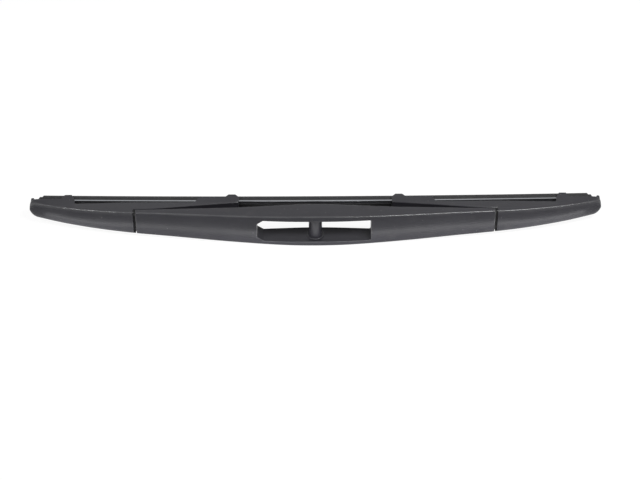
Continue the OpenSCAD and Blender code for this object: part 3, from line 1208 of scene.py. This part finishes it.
    def arm_points(self, x: float, has_channel: bool, tuck: float = 0.0) -> list[Vector]:
        """Closed section of the arm at x.

        Args:
            x: Distance from the middle.
            has_channel: Whether the channel for the bridge's cheeks is open at this section.
            tuck: How far the section is drawn in on all sides.

        Returns:
            The section's points, the first one repeated at the end.
        """
        form = self.form
        low, top = self.arm_edge(x) + tuck, self.arm_line.at(x) - tuck
        rubber_top = form.head_top + form.rubber_play
        under = max(low, rubber_top if low < rubber_top else low)
        floor = form.flank_edge + self.web if has_channel else top
        inner = self.arm_half(x, 0) - self.flank
        outline = [
            (0.0, floor),
            (inner, floor),
            (inner, top),
            (self.arm_half(x, top) - self.chamfer - tuck, top),
            (self.arm_half(x, top - self.chamfer) - tuck, top - self.chamfer),
            (self.arm_half(x, mix(low, top, 0.5)) - tuck, mix(low, top, 0.5)),
            (self.arm_half(x, low) - tuck, low),
            (form.claw_clear, low),
            (form.claw_clear, under),
            (0.0, under),
        ]
        mirrored = [(-z, depth) for z, depth in reversed(outline[:-1])]
        return [form.point(x, depth, z) for z, depth in [*outline, *mirrored]]

    def shape_arm(self, work: Workpiece) -> None:
        """Adds the arm as a closed section swept along the blade, tucked into the cover's seam wall.

        Args:
            work: The mesh to add to.
        """
        form = self.form
        channel = self.skirt_inner + self.channel_start
        plain = in_order(
            [
                *form.claw_stations(self.claw_inner)[1:],
                *stations(self.claw_inner + self.claw_room, self.skirt_inner, 3),
                *stations(self.skirt_inner, self.skirt_inner + self.skirt_rise, 0.6),
                channel,
            ]
        )
        sections = [self.arm_points(x, False) for x in plain if x > form.arm_end - 0.01]
        sections += [self.arm_points(x, True) for x in stations(channel, form.cover_start, COLUMN_STEP)]
        sections.append(self.arm_points(form.cover_start + self.cover_wall / 2, True, self.tuck))
        work.sheet(sections)

    def collar_points(self, x: float) -> list[Vector]:
        """Closed section at x of the collar that reaches under the bridge's end.

        Args:
            x: Distance from the middle.

        Returns:
            The section's points, the first one repeated at the end.
        """
        form = self.form
        top = form.back_depth(x) - form.seam_lip - self.collar_rise
        foot = form.wall_edge - form.arm_gap - self.form.lap
        inset = form.seam_lip + self.collar_play
        half_top = form.back_half(x) - form.lean(x, top) - inset
        outline = [
            (form.back_half(x) - form.lean(x, foot) - inset, foot),
            (half_top, top - form.edge_radius),
            (half_top - 0.3 * form.edge_radius, top - 0.3 * form.edge_radius),
            (half_top - form.edge_radius, top),
            (half_top / 2, top + 0.75 * form.crown),
            (0.0, top + form.crown),
        ]
        section = both_sides(outline)
        return [form.point(x, depth, z) for z, depth in [*section, section[0]]]

    def add_collar(self, work: Workpiece) -> None:
        """Adds the collar, which keeps light out of the seam, let into the cover's seam wall."""
        start = self.form.bridge_half - self.form.collar_reach
        work.sheet([self.collar_points(x) for x in (start, self.form.cover_start + self.form.lap)])

    def add_lugs(self, work: Workpiece) -> None:
        """Adds the two lugs that carry the cover's side walls and creases across most of the seam.

        Args:
            work: The mesh to add to.
        """
        form = self.form
        start, end = form.bridge_half + self.lug_room, form.cover_start + self.form.lap / 2
        for side in (-1, 1):
            sections = []
            for x in (start, end):
                section = self.cover_section(x)
                foot = form.back_half(x) - form.lean(x, form.wall_edge)
                rim = [(foot, form.wall_edge), *section.fillet()[: section.fillet_steps // 2 + 1]]
                centre = (section.half_width - section.radius, section.depth - section.radius)
                points = []
                for z, depth in rim:
                    inwards = (Vector(centre) - Vector((z, depth))).normalized()
                    points.append(Vector((z, depth)) + inwards * self.lug_inset)
                deep = Vector((-1, 0)) * self.lug_depth
                points += [points[-1] + deep, points[0] + deep, points[0]]
                sections.append([form.point(x, depth, side * z) for z, depth in points])
            work.sheet(sections)

    def on_the_skin(self, centre: Vector) -> bool:
        """Whether a face of the yoke belongs to the cover or to a lug, and not to the arm."""
        form = self.form
        return centre.x > form.cover_start or form.pin_depth - centre.y > form.wall_edge

    def in_seam(self, centre: Vector) -> bool:
        """Whether a face of the yoke lies in the seam: on the collar or on the cover's seam face.

        Args:
            centre: Middle of the face.

        Returns:
            Whether it does.
        """
        form = self.form
        within = form.bridge_half - form.collar_reach < centre.x < form.cover_start + 0.02
        return within and form.pin_depth - centre.y > form.wall_edge - form.arm_gap + 0.1

    def add_fingers(self, work: Workpiece) -> None:
        """Adds the claws' fingers, which reach into the rubber's groove.

        Args:
            work: The mesh to add to.
        """
        form = self.form
        for x, outside in (
            (self.claw_inner, self.arm_half(self.claw_inner, 0)),
            (self.claw_outer, self.cover_foot(self.claw_outer)),
        ):
            low = form.claw_line(x, x)
            left, right = x - form.claw_tip / 2 + 0.02, x + form.claw_tip / 2 - 0.02
            outline = [(left, low), (right, low), (right, low + form.finger), (left, low + form.finger)]
            for side in (-1, 1):
                tip, root = side * (form.neck_half + form.rubber_play), side * (outside - 0.5)
                work.prism(outline, min(tip, root), max(tip, root))

    def add_end_stop(self, work: Workpiece) -> None:
        """Adds the tongue at the tip that keeps the rubber from sliding out.

        Args:
            work: The mesh to add to.
        """
        form = self.form
        inner = form.half - self.end_wall
        low = form.skirt_edge - self.stop_reach
        thick = self.end_wall - 0.6
        outline = [
            (inner, form.skirt_edge + 0.4),
            (inner, low + 0.6),
            (inner + 0.6, low),
            (inner + thick, low + 0.4),
            (inner + thick, form.skirt_edge + 0.4),
        ]
        work.prism(outline, -self.stop_half, self.stop_half)

    def inside_the_joint(self, middle: Vector) -> bool:
        """Whether an edge lies where the arm grows out of the cover's seam face.

        Args:
            middle: Middle of the edge.

        Returns:
            Whether it does.
        """
        form = self.form
        near_face = abs(middle.x - form.cover_start) < 0.01
        return near_face and form.pin_depth - middle.y < form.wall_edge - form.arm_gap

    def build(self) -> bpy.types.Object:
        """Models the yoke.

        Returns:
            The finished yoke.
        """
        work = Workpiece(self.form)
        self.shape_cover(work)
        self.shape_arm(work)
        self.add_collar(work)
        self.add_lugs(work)
        work.sew()
        work.close()
        self.add_fingers(work)
        self.add_end_stop(work)
        bmesh.ops.recalc_face_normals(work.bm, faces=work.bm.faces)
        work.soften(self.rounding, kept_sharp=self.inside_the_joint)
        work.mark_crease(self.on_the_skin)
        # The collar and the seam face are marked for painted shade: the plastic is painted near black
        # there.
        work.mark_painted_shade(self.in_seam)
        if self.side is Side.LEFT:
            work.mirror_across_middle()
        node = f"{self.side.value}_yoke"
        piece = work.finish(f"{node}_moulding")
        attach(piece, node)
        return hand_over(piece, node, "moulded_plastic")


@dataclass(frozen=True)
class BowedStrand:
    """Half of a section swept along the squeegee's bow."""

    form: BladeForm
    node: str
    slot: str
    outline: tuple[tuple[float, float], ...]
    end: float
    rounding: float = 0.12
    steps: int = 40

    def shape(self, side: Side) -> Workpiece:
        """Sweeps the section from the middle of the blade to one end.

        Args:
            side: End of the blade.

        Returns:
            The closed half.
        """
        form = self.form
        work = Workpiece(form)
        bm = work.bm
        outline = eased_corners(self.outline, self.rounding)
        verts = [bm.verts.new(form.point(0, depth, z)) for z, depth in outline]
        face = bmesh.ops.contextual_create(bm, geom=verts)["faces"]
        bmesh.ops.delete(bm, geom=face, context="FACES_ONLY")
        turn = math.asin(self.end / form.bow_radius) * (1 if side is Side.RIGHT else -1)
        bmesh.ops.spin(
            bm,
            geom=[*bm.verts, *bm.edges],
            cent=form.point(0, -form.bow_radius, 0),
            axis=(0, 0, 1),
            angle=turn,
            steps=self.steps,
        )
        work.close()
        return work

    def attach(self, work: Workpiece, side: Side) -> bpy.types.Object:
        """Finishes one half and lets it take its node's place.

        Args:
            work: The closed half.
            side: End of the blade.

        Returns:
            The finished half.
        """
        piece = work.finish(f"{self.node}_{side.value}_half")
        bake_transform(piece)
        return hand_over(piece, self.node, self.slot)


@dataclass(frozen=True)
class Squeegee:
    """Rubber profile with its head, side slots, flange, neck, shoulder and lip."""

    form: BladeForm
    head_half: float = 3.0
    strip_play: float = 0.03
    flange_half: float = 3.2
    shoulder_half: float = 2.5
    shoulder: float = 1.7
    lip: float = 3.3
    lip_wall: float = 0.8
    lip_root: float = 0.9
    end_chamfer: float = 2.3

    @property
    def lip_tip(self) -> float:
        """Depth of the wiping edge."""
        return self.form.neck_top - self.form.groove - self.shoulder - self.lip

    def half_outline(self) -> list[tuple[float, float]]:
        """Half section of the rubber as (z, depth), from its head to its lip.

        Returns:
            The points in order.
        """
        form = self.form
        slot = form.strip_thick / 2 + self.strip_play
        slot_half = form.strip_inner - self.strip_play
        shoulder_top = form.neck_top - form.groove
        lip_top = shoulder_top - self.shoulder
        root = [
            (
                self.lip_wall / 2 + self.lip_root * (1 - math.sin(a)),
                lip_top - self.lip_root * (1 - math.cos(a)),
            )
            for a in (math.radians(step) for step in range(0, 91, 15))
        ]
        return [
            (self.head_half, form.head_top),
            (self.head_half, slot),
            (slot_half, slot),
            (slot_half, -slot),
            (self.flange_half, -slot),
            (self.flange_half, form.neck_top),
            (form.neck_half, form.neck_top),
            (form.neck_half, shoulder_top),
            (self.shoulder_half - 0.3, shoulder_top),
            (self.shoulder_half, shoulder_top - 0.3),
            (self.shoulder_half, lip_top + 0.6),
            *root,
            (self.lip_wall / 2, self.lip_tip),
        ]

    def trim_end(self, work: Workpiece, side: Side) -> None:
        """Cuts the end of the neck and the lip on a slant.

        Args:
            work: The closed half.
            side: End of the blade.
        """
        form = self.form
        direction = 1 if side is Side.RIGHT else -1
        drop = form.sag(form.rubber_end)
        low = form.point(direction * (form.rubber_end - self.end_chamfer), self.lip_tip - drop, 0)
        high = form.point(direction * (form.rubber_end + 0.1), form.neck_top - drop, 0)
        along = high - low
        outwards = Vector((direction * abs(along.y), abs(along.x), 0)).normalized()
        bmesh.ops.bisect_plane(
            work.bm,
            geom=[*work.bm.verts, *work.bm.edges, *work.bm.faces],
            plane_co=low,
            plane_no=outwards,
            clear_outer=True,
        )
        work.close()

    def build(self) -> list[bpy.types.Object]:
        """Models both halves of the squeegee.

        Returns:
            The left and the right half.
        """
        strand = BowedStrand(
            self.form,
            "squeegee",
            "wiper_rubber",
            tuple(both_sides(self.half_outline())),
            self.form.rubber_end,
        )
        halves = []
        for side in Side:
            work = strand.shape(side)
            self.trim_end(work, side)
            halves.append(strand.attach(work, side))
        return halves


@dataclass(frozen=True)
class SteelStrip:
    """Flat spring strip in one side slot of the rubber."""

    form: BladeForm
    node: str
    up: int

    def build(self) -> list[bpy.types.Object]:
        """Models both halves of the strip.

        Returns:
            The left and the right half.
        """
        form = self.form
        half = form.strip_thick / 2
        outline = (
            (self.up * form.strip_inner, -half),
            (self.up * form.strip_outer, -half),
            (self.up * form.strip_outer, half),
            (self.up * form.strip_inner, half),
        )
        strand = BowedStrand(form, self.node, "spring_steel", outline, form.strip_end, rounding=0.15)
        return [strand.attach(strand.shape(side), side) for side in Side]


class Nodes:
    """Short ways to add and link shader nodes in one node tree."""

    def __init__(self, tree: bpy.types.NodeTree) -> None:
        """Starts on an emptied tree."""
        self.tree = tree
        tree.nodes.clear()

    def add(self, kind: str, **values: object) -> bpy.types.Node:
        """Adds a node.

        Args:
            kind: Name of the node's type without its ShaderNode prefix.
            **values: Properties of the node.

        Returns:
            The node.
        """
        full = kind if kind.startswith("NodeGroup") else f"ShaderNode{kind}"
        node = self.tree.nodes.new(full)
        for name, value in values.items():
            setattr(node, name, value)
        return node

    def feed(self, target: bpy.types.NodeSocket, value: object) -> None:
        """Links an output to an input, or sets the input to a plain value.

        Args:
            target: The input.
            value: An output or a plain value.
        """
        if isinstance(value, bpy.types.NodeSocket):
            self.tree.links.new(value, target)
        else:
            target.default_value = value

    def math(self, operation: str, *values: object) -> bpy.types.NodeSocket:
        """Adds a sum of two values or another operation on them.

        Args:
            operation: Name of the operation.
            *values: Outputs or plain values.

        Returns:
            The result.
        """
        node = self.add("Math", operation=operation)
        for target, value in zip(node.inputs, values):
            self.feed(target, value)
        return node.outputs[0]

    def stretch(self, place: bpy.types.NodeSocket, factors: Sequence[float]) -> bpy.types.NodeSocket:
        """Multiplies a place by a factor along each axis.

        Args:
            place: Output that gives the place.
            factors: Factor along each axis.

        Returns:
            The result.
        """
        node = self.add("VectorMath", operation="MULTIPLY")
        self.feed(node.inputs[0], place)
        self.feed(node.inputs[1], tuple(factors))
        return node.outputs[0]

    def rise(self, value: bpy.types.NodeSocket, low: float, high: float) -> bpy.types.NodeSocket:
        """Smooth step from 0 at low to 1 at high.

        Args:
            value: Output that it follows.
            low: Value up to which it is 0.
            high: Value from which it is 1.

        Returns:
            The result.
        """
        node = self.add("MapRange", interpolation_type="SMOOTHSTEP")
        self.feed(node.inputs["Value"], value)
        self.feed(node.inputs["From Min"], low)
        self.feed(node.inputs["From Max"], high)
        return node.outputs["Result"]

    def noise(self, place: bpy.types.NodeSocket, scale: float, detail: float) -> bpy.types.NodeSocket:
        """Adds a cloudy noise around 0.5.

        Args:
            place: Output that gives the place.
            scale: Clouds for each unit of the place.
            detail: Number of finer layers.

        Returns:
            The noise.
        """
        node = self.add("TexNoise")
        self.feed(node.inputs["Vector"], place)
        self.feed(node.inputs["Scale"], scale)
        self.feed(node.inputs["Detail"], detail)
        return node.outputs["Fac"]

    def blend(self, mask: bpy.types.NodeSocket, plain: object, other: object) -> bpy.types.NodeSocket:
        """Mixes two colours by a mask.

        Args:
            mask: Output between 0 and 1.
            plain: What a mask of 0 gives.
            other: What a mask of 1 gives.

        Returns:
            The mixed colour.
        """
        node = self.add("Mix", data_type="RGBA")
        self.feed(node.inputs["Factor"], mask)
        self.feed(node.inputs[6], plain)
        self.feed(node.inputs[7], other)
        return node.outputs[2]

    def between(self, mask: bpy.types.NodeSocket, plain: float, other: float) -> bpy.types.NodeSocket:
        """Mixes two plain values by a mask.

        Args:
            mask: Output between 0 and 1.
            plain: What a mask of 0 gives.
            other: What a mask of 1 gives.

        Returns:
            The mixed value.
        """
        node = self.add("Mix", data_type="FLOAT")
        self.feed(node.inputs["Factor"], mask)
        self.feed(node.inputs["A"], plain)
        self.feed(node.inputs["B"], other)
        return node.outputs["Result"]


class Effect(Nodes):
    """A shader node group that several materials share."""

    def __init__(self, name: str, takes: Sequence[str] = ()) -> None:
        """Starts a group that takes a place on the piece and further plain values.

        Args:
            name: Name of the group.
            takes: Names of its further inputs.
        """
        super().__init__(bpy.data.node_groups.new(name, "ShaderNodeTree"))
        self.tree.interface.new_socket("Place", in_out="INPUT", socket_type="NodeSocketVector")
        for value in takes:
            self.tree.interface.new_socket(value, in_out="INPUT", socket_type="NodeSocketFloat")
        self.entry = self.add("NodeGroupInput")
        self.exit = self.add("NodeGroupOutput")
        self.place = self.stretch(self.entry.outputs["Place"], [1 / MM] * 3)

    def give(self, name: str, value: bpy.types.NodeSocket) -> None:
        """Adds an output."""
        self.tree.interface.new_socket(name, in_out="OUTPUT", socket_type="NodeSocketFloat")
        self.feed(self.exit.inputs[name], value)


class Effects:
    """The node groups of the blade's materials. Their scales are per millimetre."""

    def __init__(self) -> None:
        """Builds the four groups."""
        self.grain = self.make_grain()
        self.polish_and_sheen = self.make_polish_and_sheen()
        self.dust = self.make_dust()
        self.lines = self.make_lines()

    @staticmethod
    def make_grain() -> bpy.types.NodeTree:
        """Fine spark-eroded grain of a mould, and its slow drift in gloss.

        Returns:
            The group, with a height and a drift.
        """
        group = Effect("moulded_grain")
        pits = group.add("TexVoronoi", feature="SMOOTH_F1")
        group.feed(pits.inputs["Vector"], group.place)
        group.feed(pits.inputs["Scale"], 3.4)
        group.feed(pits.inputs["Smoothness"], 0.6)
        fine = group.noise(group.place, 7.0, 3.0)
        group.give("Height", group.math("ADD", pits.outputs["Distance"], fine))
        drift = group.noise(group.stretch(group.place, (0.4, 1, 1)), 0.11, 2.0)
        group.give("Drift", group.rise(drift, 0.3, 0.7))
        return group.tree

    @staticmethod
    def make_polish_and_sheen() -> bpy.types.NodeTree:
        """Patches along the rounded edges, which the plastic makes smoother and paints lighter as a
        sheen.

        Returns:
            The group, with a mask and a gloss.
        """
        group = Effect("edge_polish_and_sheen", ["Band"])
        patches = group.noise(group.stretch(group.place, (0.25, 1, 1)), 0.5, 3.0)
        worn = group.rise(patches, 0.38, 0.66)
        band = group.entry.outputs["Band"]
        group.give("Mask", group.math("MULTIPLY", band, worn))
        group.give("Gloss", group.math("MULTIPLY", band, group.between(worn, 0.85, 1.0)))
        return group.tree

    @staticmethod
    def make_dust() -> bpy.types.NodeTree:
        """Sparse light specks and a faint bloom between them.

        Returns:
            The group, with specks and a bloom.
        """
        group = Effect("settled_dust")
        cells = group.add("TexVoronoi", feature="F1")
        group.feed(cells.inputs["Vector"], group.place)
        group.feed(cells.inputs["Scale"], 0.55)
        near = group.rise(cells.outputs["Distance"], 0.13, 0.06)
        split = group.add("SeparateColor")
        group.feed(split.inputs["Color"], cells.outputs["Color"])
        chosen = group.rise(split.outputs["Red"], 0.9, 0.94)
        bloom = group.rise(group.noise(group.place, 0.16, 4.0), 0.52, 0.8)
        group.give("Specks", group.math("MULTIPLY", near, chosen))
        group.give("Bloom", bloom)
        return group.tree

    @staticmethod
    def make_lines() -> bpy.types.NodeTree:
        """Fine lines along the blade, as drawing and extruding leave them.

        Returns:
            The group, with a height and a mask.
        """
        group = Effect("drawn_lines")
        fine = group.noise(group.stretch(group.place, (0.03, 1, 1)), 5.0, 3.0)
        broad = group.noise(group.stretch(group.place, (0.02, 1, 1)), 1.2, 2.0)
        both = group.math("ADD", fine, broad)
        group.give("Height", both)
        group.give("Mask", group.rise(both, 0.7, 1.3))
        return group.tree


def finish_name(slot: str) -> str:
    """Name of the material that dresses a slot of the record."""
    return f"{slot}_finish"


class Finish:
    """One material in the making: a shader with a place on the piece and shared effects."""

    def __init__(self, name: str, **plain: object) -> None:
        """Starts a material.

        Args:
            name: Name of the record's slot that the material dresses.
            **plain: Values that are the same all over, by shader input with underscores for spaces.
        """
        material = bpy.data.materials.new(finish_name(name))
        material.use_nodes = True
        self.nodes = Nodes(material.node_tree)
        self.shader = self.nodes.add("BsdfPrincipled")
        for key, value in plain.items():
            self.shader.inputs[key.replace("_", " ")].default_value = value
        out = self.nodes.add("OutputMaterial")
        self.nodes.feed(out.inputs["Surface"], self.shader.outputs[0])
        self.place = self.nodes.add("TexCoord").outputs["Object"]

    def effect(self, group: bpy.types.NodeTree, **values: object) -> bpy.types.bpy_prop_collection:
        """Adds one of the shared groups.

        Args:
            group: The node group.
            **values: What its further inputs take.

        Returns:
            The outputs of the group.
        """
        node = self.nodes.add("Group", node_tree=group)
        self.nodes.feed(node.inputs["Place"], self.place)
        for name, value in values.items():
            self.nodes.feed(node.inputs[name], value)
        return node.outputs

    def mark(self, layer: str) -> bpy.types.NodeSocket:
        """A mark that the pieces carry, such as that of their rounded edges."""
        return self.nodes.add("Attribute", attribute_name=layer).outputs["Fac"]

    def emboss(self, height: bpy.types.NodeSocket, distance: float, strength: float) -> None:
        """Gives the surface a fine relief.

        Args:
            height: Output that gives the relief.
            distance: Height of the relief in metres.
            strength: Share of the relief that shows.
        """
        bump = self.nodes.add("Bump")
        self.nodes.feed(bump.inputs["Height"], height)
        self.nodes.feed(bump.inputs["Distance"], distance)
        self.nodes.feed(bump.inputs["Strength"], strength)
        self.nodes.feed(self.shader.inputs["Normal"], bump.outputs["Normal"])

    def colour(self, value: bpy.types.NodeSocket) -> None:
        """Sets the base colour."""
        self.nodes.feed(self.shader.inputs["Base Color"], value)

    def roughness(self, value: bpy.types.NodeSocket) -> None:
        """Sets the roughness."""
        self.nodes.feed(self.shader.inputs["Roughness"], value)


class MouldedPlastic(Finish):
    """Black moulded plastic: satin and grained, shinier and with a painted sheen along its edges, dull
    and painted near black as shade in its joints.
    """

    TONES = ((0.044, 0.043, 0.052, 1), (0.050, 0.049, 0.059, 1))
    PAINTED_EDGE_SHEEN = (0.070, 0.070, 0.078, 1)
    BLOOM = (0.16, 0.155, 0.15, 1)
    SPECKS = (0.42, 0.42, 0.42, 1)
    PAINTED_SEAM_SHADE = (0.006, 0.006, 0.007, 1)
    SATIN = (0.3, 0.35)
    RUBBED_SMOOTH = 0.25
    DULL = 0.7
    DUSTY = 0.8
    GRAIN = 0.02

    def __init__(self, effects: Effects) -> None:
        """Mixes the plastic.

        Args:
            effects: The shared node groups.
        """
        super().__init__("moulded_plastic", IOR=1.38, Coat_Roughness=0.18, Coat_IOR=1.6)
        grain = self.effect(effects.grain)
        edge = self.effect(effects.polish_and_sheen, Band=self.mark(Workpiece.EDGE_LAYER))
        dust = self.effect(effects.dust)
        painted_shade = self.mark(Workpiece.SEAM_SHADE_LAYER)
        nodes = self.nodes
        tone = nodes.blend(grain["Drift"], *self.TONES)
        # Painted sheen: the rounded edges are painted lighter in patches, where a highlight falls.
        tone = nodes.blend(edge["Mask"], tone, self.PAINTED_EDGE_SHEEN)
        tone = nodes.blend(nodes.math("MULTIPLY", dust["Bloom"], 0.1), tone, self.BLOOM)
        tone = nodes.blend(nodes.math("MULTIPLY", dust["Specks"], 0.7), tone, self.SPECKS)
        # Painted shade: the faces in the seams are painted near black, as shade in the joints.
        self.colour(nodes.blend(painted_shade, tone, self.PAINTED_SEAM_SHADE))
        satin = nodes.between(grain["Drift"], *self.SATIN)
        satin = nodes.between(edge["Mask"], satin, self.RUBBED_SMOOTH)
        satin = nodes.between(painted_shade, satin, self.DULL)
        self.roughness(nodes.between(dust["Specks"], satin, self.DUSTY))
        nodes.feed(self.shader.inputs["Coat Weight"], edge["Gloss"])
        self.emboss(grain["Height"], self.GRAIN * MM, 0.5)


class WiperRubber(Finish):
    """Black rubber: matt, with fine extrusion lines and a faint bloom."""

    TONES = ((0.028, 0.028, 0.030, 1), (0.036, 0.036, 0.039, 1))
    BLOOM = (0.1, 0.1, 0.1, 1)
    MATT = (0.52, 0.62)
    LINES = 0.02

    def __init__(self, effects: Effects) -> None:
        """Mixes the rubber.

        Args:
            effects: The shared node groups.
        """
        super().__init__("wiper_rubber", IOR=1.46)
        lines = self.effect(effects.lines)
        dust = self.effect(effects.dust)
        nodes = self.nodes
        tone = nodes.blend(lines["Mask"], *self.TONES)
        self.colour(nodes.blend(nodes.math("MULTIPLY", dust["Bloom"], 0.2), tone, self.BLOOM))
        self.roughness(nodes.between(lines["Mask"], *self.MATT))
        self.emboss(lines["Height"], self.LINES * MM, 0.5)


class SpringSteel(Finish):
    """Rolled spring steel: satin, streaked along the blade."""

    TONES = ((0.32, 0.33, 0.35, 1), (0.42, 0.43, 0.45, 1))
    SATIN = (0.42, 0.3)
    LINES = 0.01

    def __init__(self, effects: Effects) -> None:
        """Mixes the steel.

        Args:
            effects: The shared node groups.
        """
        super().__init__("spring_steel", Metallic=1.0)
        lines = self.effect(effects.lines)
        nodes = self.nodes
        self.colour(nodes.blend(lines["Mask"], *self.TONES))
        self.roughness(nodes.between(lines["Mask"], *self.SATIN))
        self.emboss(lines["Height"], self.LINES * MM, 0.4)


def hand_over(piece: bpy.types.Object, node: str, slot: str) -> bpy.types.Object:
    """Lets a finished piece take a node's place, in the material of its slot.

    Args:
        piece: The finished piece.
        node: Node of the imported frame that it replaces.
        slot: Name of the record's slot, whose finish the piece takes.

    Returns:
        The piece.
    """
    piece.data.materials.append(bpy.data.materials[finish_name(slot)])
    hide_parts(node)
    return piece


@dataclass(frozen=True)
class SoftBox:
    """Flat rectangular lamp that the camera doesn't see."""

    name: str
    place: Sequence[float]
    aim: Sequence[float]
    width: float
    height: float
    watts: float

    def hang(self) -> None:
        """Adds the lamp, its width along the blade as far as its aim allows."""
        light = bpy.data.lights.new(self.name, "AREA")
        light.shape = "RECTANGLE"
        light.size, light.size_y = self.width, self.height
        light.energy = self.watts
        lamp = bpy.data.objects.new(self.name, light)
        towards = Vector(self.aim) - Vector(self.place)
        turn = towards.to_track_quat("-Z", "Y").to_matrix().to_4x4()
        lamp.matrix_world = Matrix.Translation(self.place) @ turn
        lamp.visible_camera = False
        bpy.context.scene.collection.objects.link(lamp)


class Studio:
    """Plain white table, soft lamps and the camera of the photograph."""

    ROOM = 0.06
    TABLE_REACH = 3.0
    TABLE_SHOWS = (0.8, 0.2)
    TABLE_GLOWS = (0.45, 0.93)
    LAMPS = (
        SoftBox("back_light", (0.0, 0.25, 0.7), (0.0, 0.0, 0.0), 0.6, 0.5, 0.3),
        SoftBox("right_light", (0.38, -0.36, 0.77), (0.08, 0.0, 0.0), 0.45, 0.05, 3.6),
        SoftBox("left_light", (-0.52, -0.36, 0.77), (-0.12, 0.0, 0.0), 0.20, 0.05, 1.3),
    )
    LOW_GAP = 9.0
    LOW_RISE = 3.0
    LOW_ENDS = (-150.0, -100.0, -50.0, 0.0, 50.0, 100.0, 150.0)
    LOW_WATTS = (0.0017, 0.0014, 0.0016, 0.0016, 0.0018, 0.0019)

    LENS = 100.0
    SENSOR = 36.0
    CLIP = (0.05, 10.0)
    DISTANCE = 0.9503
    TILT = 40.0
    ROLL = -0.28
    TARGET = (0.0024, 0.0038, -0.0139)

    def place_camera(self) -> None:
        """Sets the camera beyond the back of the blade, looking down across it to the rubber."""
        camera = bpy.data.cameras.new("photo_camera")
        camera.lens = self.LENS
        camera.sensor_width = self.SENSOR
        camera.clip_start, camera.clip_end = self.CLIP
        stand = bpy.data.objects.new("photo_camera", camera)
        tilt = math.radians(self.TILT)
        look = Vector((0, math.cos(tilt), -math.sin(tilt)))
        roll = Matrix.Rotation(math.radians(self.ROLL), 4, "Z")
        facing = look.to_track_quat("-Z", "Y").to_matrix().to_4x4()
        place = Vector(self.TARGET) - look * self.DISTANCE
        stand.matrix_world = Matrix.Translation(place) @ facing @ roll
        bpy.context.scene.collection.objects.link(stand)
        bpy.context.scene.camera = stand

    def lay_table(self, height: float) -> None:
        """Lays the white table under the blade, which shows a soft shadow.

        Args:
            height: Lowest point of the blade.
        """
        bm = bmesh.new()
        bmesh.ops.create_grid(bm, x_segments=1, y_segments=1, size=self.TABLE_REACH)
        bmesh.ops.translate(bm, verts=bm.verts, vec=(0, 0, height))
        mesh = bpy.data.meshes.new("table")
        bm.to_mesh(mesh)
        bm.free()
        table = bpy.data.objects.new("table", mesh)
        bpy.context.scene.collection.objects.link(table)
        material = bpy.data.materials.new("white_table")
        material.use_nodes = True
        nodes = Nodes(material.node_tree)
        eye, gloss = self.seen_rays(nodes)
        paper = nodes.add("BsdfDiffuse")
        nodes.feed(paper.inputs["Color"], nodes.between(eye, *self.TABLE_SHOWS))
        glow = nodes.add("Emission")
        in_gloss, to_eye = self.TABLE_GLOWS
        strength = nodes.between(eye, nodes.math("MULTIPLY", gloss, in_gloss), to_eye)
        nodes.feed(glow.inputs["Strength"], strength)
        shader = nodes.add("AddShader")
        nodes.feed(shader.inputs[0], paper.outputs[0])
        nodes.feed(shader.inputs[1], glow.outputs[0])
        out = nodes.add("OutputMaterial")
        nodes.feed(out.inputs["Surface"], shader.outputs[0])
        mesh.materials.append(material)
        table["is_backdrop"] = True

    @staticmethod
    def seen_rays(nodes: Nodes) -> tuple[bpy.types.NodeSocket, bpy.types.NodeSocket]:
        """Masks of the rays that see the background.

        Args:
            nodes: Node tree of the background's material.

        Returns:
            One mask for rays by eye or through glass, and one for rays by reflection.
        """
        path = nodes.add("LightPath")
        eye = nodes.math("MAXIMUM", path.outputs["Is Camera Ray"], path.outputs["Is Transmission Ray"])
        return eye, path.outputs["Is Glossy Ray"]

    def low_lamps(self, form: BladeForm, low: float) -> list[SoftBox]:
        """Strip lamps that stand on the table along the back and light its lower edge.

        Args:
            form: Sizes of the blade.
            low: Height of the table.

        Returns:
            The lamps from left to right.
        """
        lamps = []
        ends = [form.point(x, form.back_depth(x) + self.LOW_GAP, 0) * MM for x in self.LOW_ENDS]
        for i, (start, end) in enumerate(zip(ends, ends[1:])):
            place = (start + end) / 2
            place.z = low + self.LOW_RISE * MM / 2
            aim = place + Vector((-(end - start).y, (end - start).x, 0))
            width = (end - start).length
            name = f"low_strip_{i + 1}"
            lamps.append(SoftBox(name, place, aim, width, self.LOW_RISE * MM, self.LOW_WATTS[i]))
        return lamps

    def light_room(self, form: BladeForm, low: float) -> None:
        """Fills the room with soft light and hangs the lamps.

        Args:
            form: Sizes of the blade.
            low: Height of the table.
        """
        scene = bpy.context.scene
        world = bpy.data.worlds.new("pale_room")
        scene.world = world
        world.use_nodes = True
        nodes = Nodes(world.node_tree)
        background = nodes.add("Background")
        seen = nodes.math("MAXIMUM", *self.seen_rays(nodes))
        nodes.feed(background.inputs["Strength"], nodes.between(seen, self.ROOM, 1.0))
        out = nodes.add("OutputWorld")
        nodes.feed(out.inputs["Surface"], background.outputs[0])
        for lamp in [*self.LAMPS, *self.low_lamps(form, low)]:
            lamp.hang()
        scene.view_settings.view_transform = "Standard"


def main() -> None:
    """Builds the blade and its studio."""
    logging.basicConfig(level=logging.INFO, format="%(name)s: %(message)s")
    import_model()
    cad_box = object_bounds()
    form = BladeForm.from_frame()
    studio = Studio()
    studio.place_camera()
    studio.lay_table(cad_box[0].z)
    studio.light_room(form, cad_box[0].z)
    effects = Effects()
    for finish in (MouldedPlastic, WiperRubber, SpringSteel):
        finish(effects)
    pieces = [Bridge(form).build(), ArmPin(form).build()]
    pieces += [Yoke(form, side).build() for side in Side]
    pieces += Squeegee(form).build()
    pieces += SteelStrip(form, "upper_strip", 1).build()
    pieces += SteelStrip(form, "lower_strip", -1).build()
    for piece in pieces:
        LOG.info("%s has %d faces", piece.name, len(piece.data.polygons))


if __name__ == "__main__":
    main()
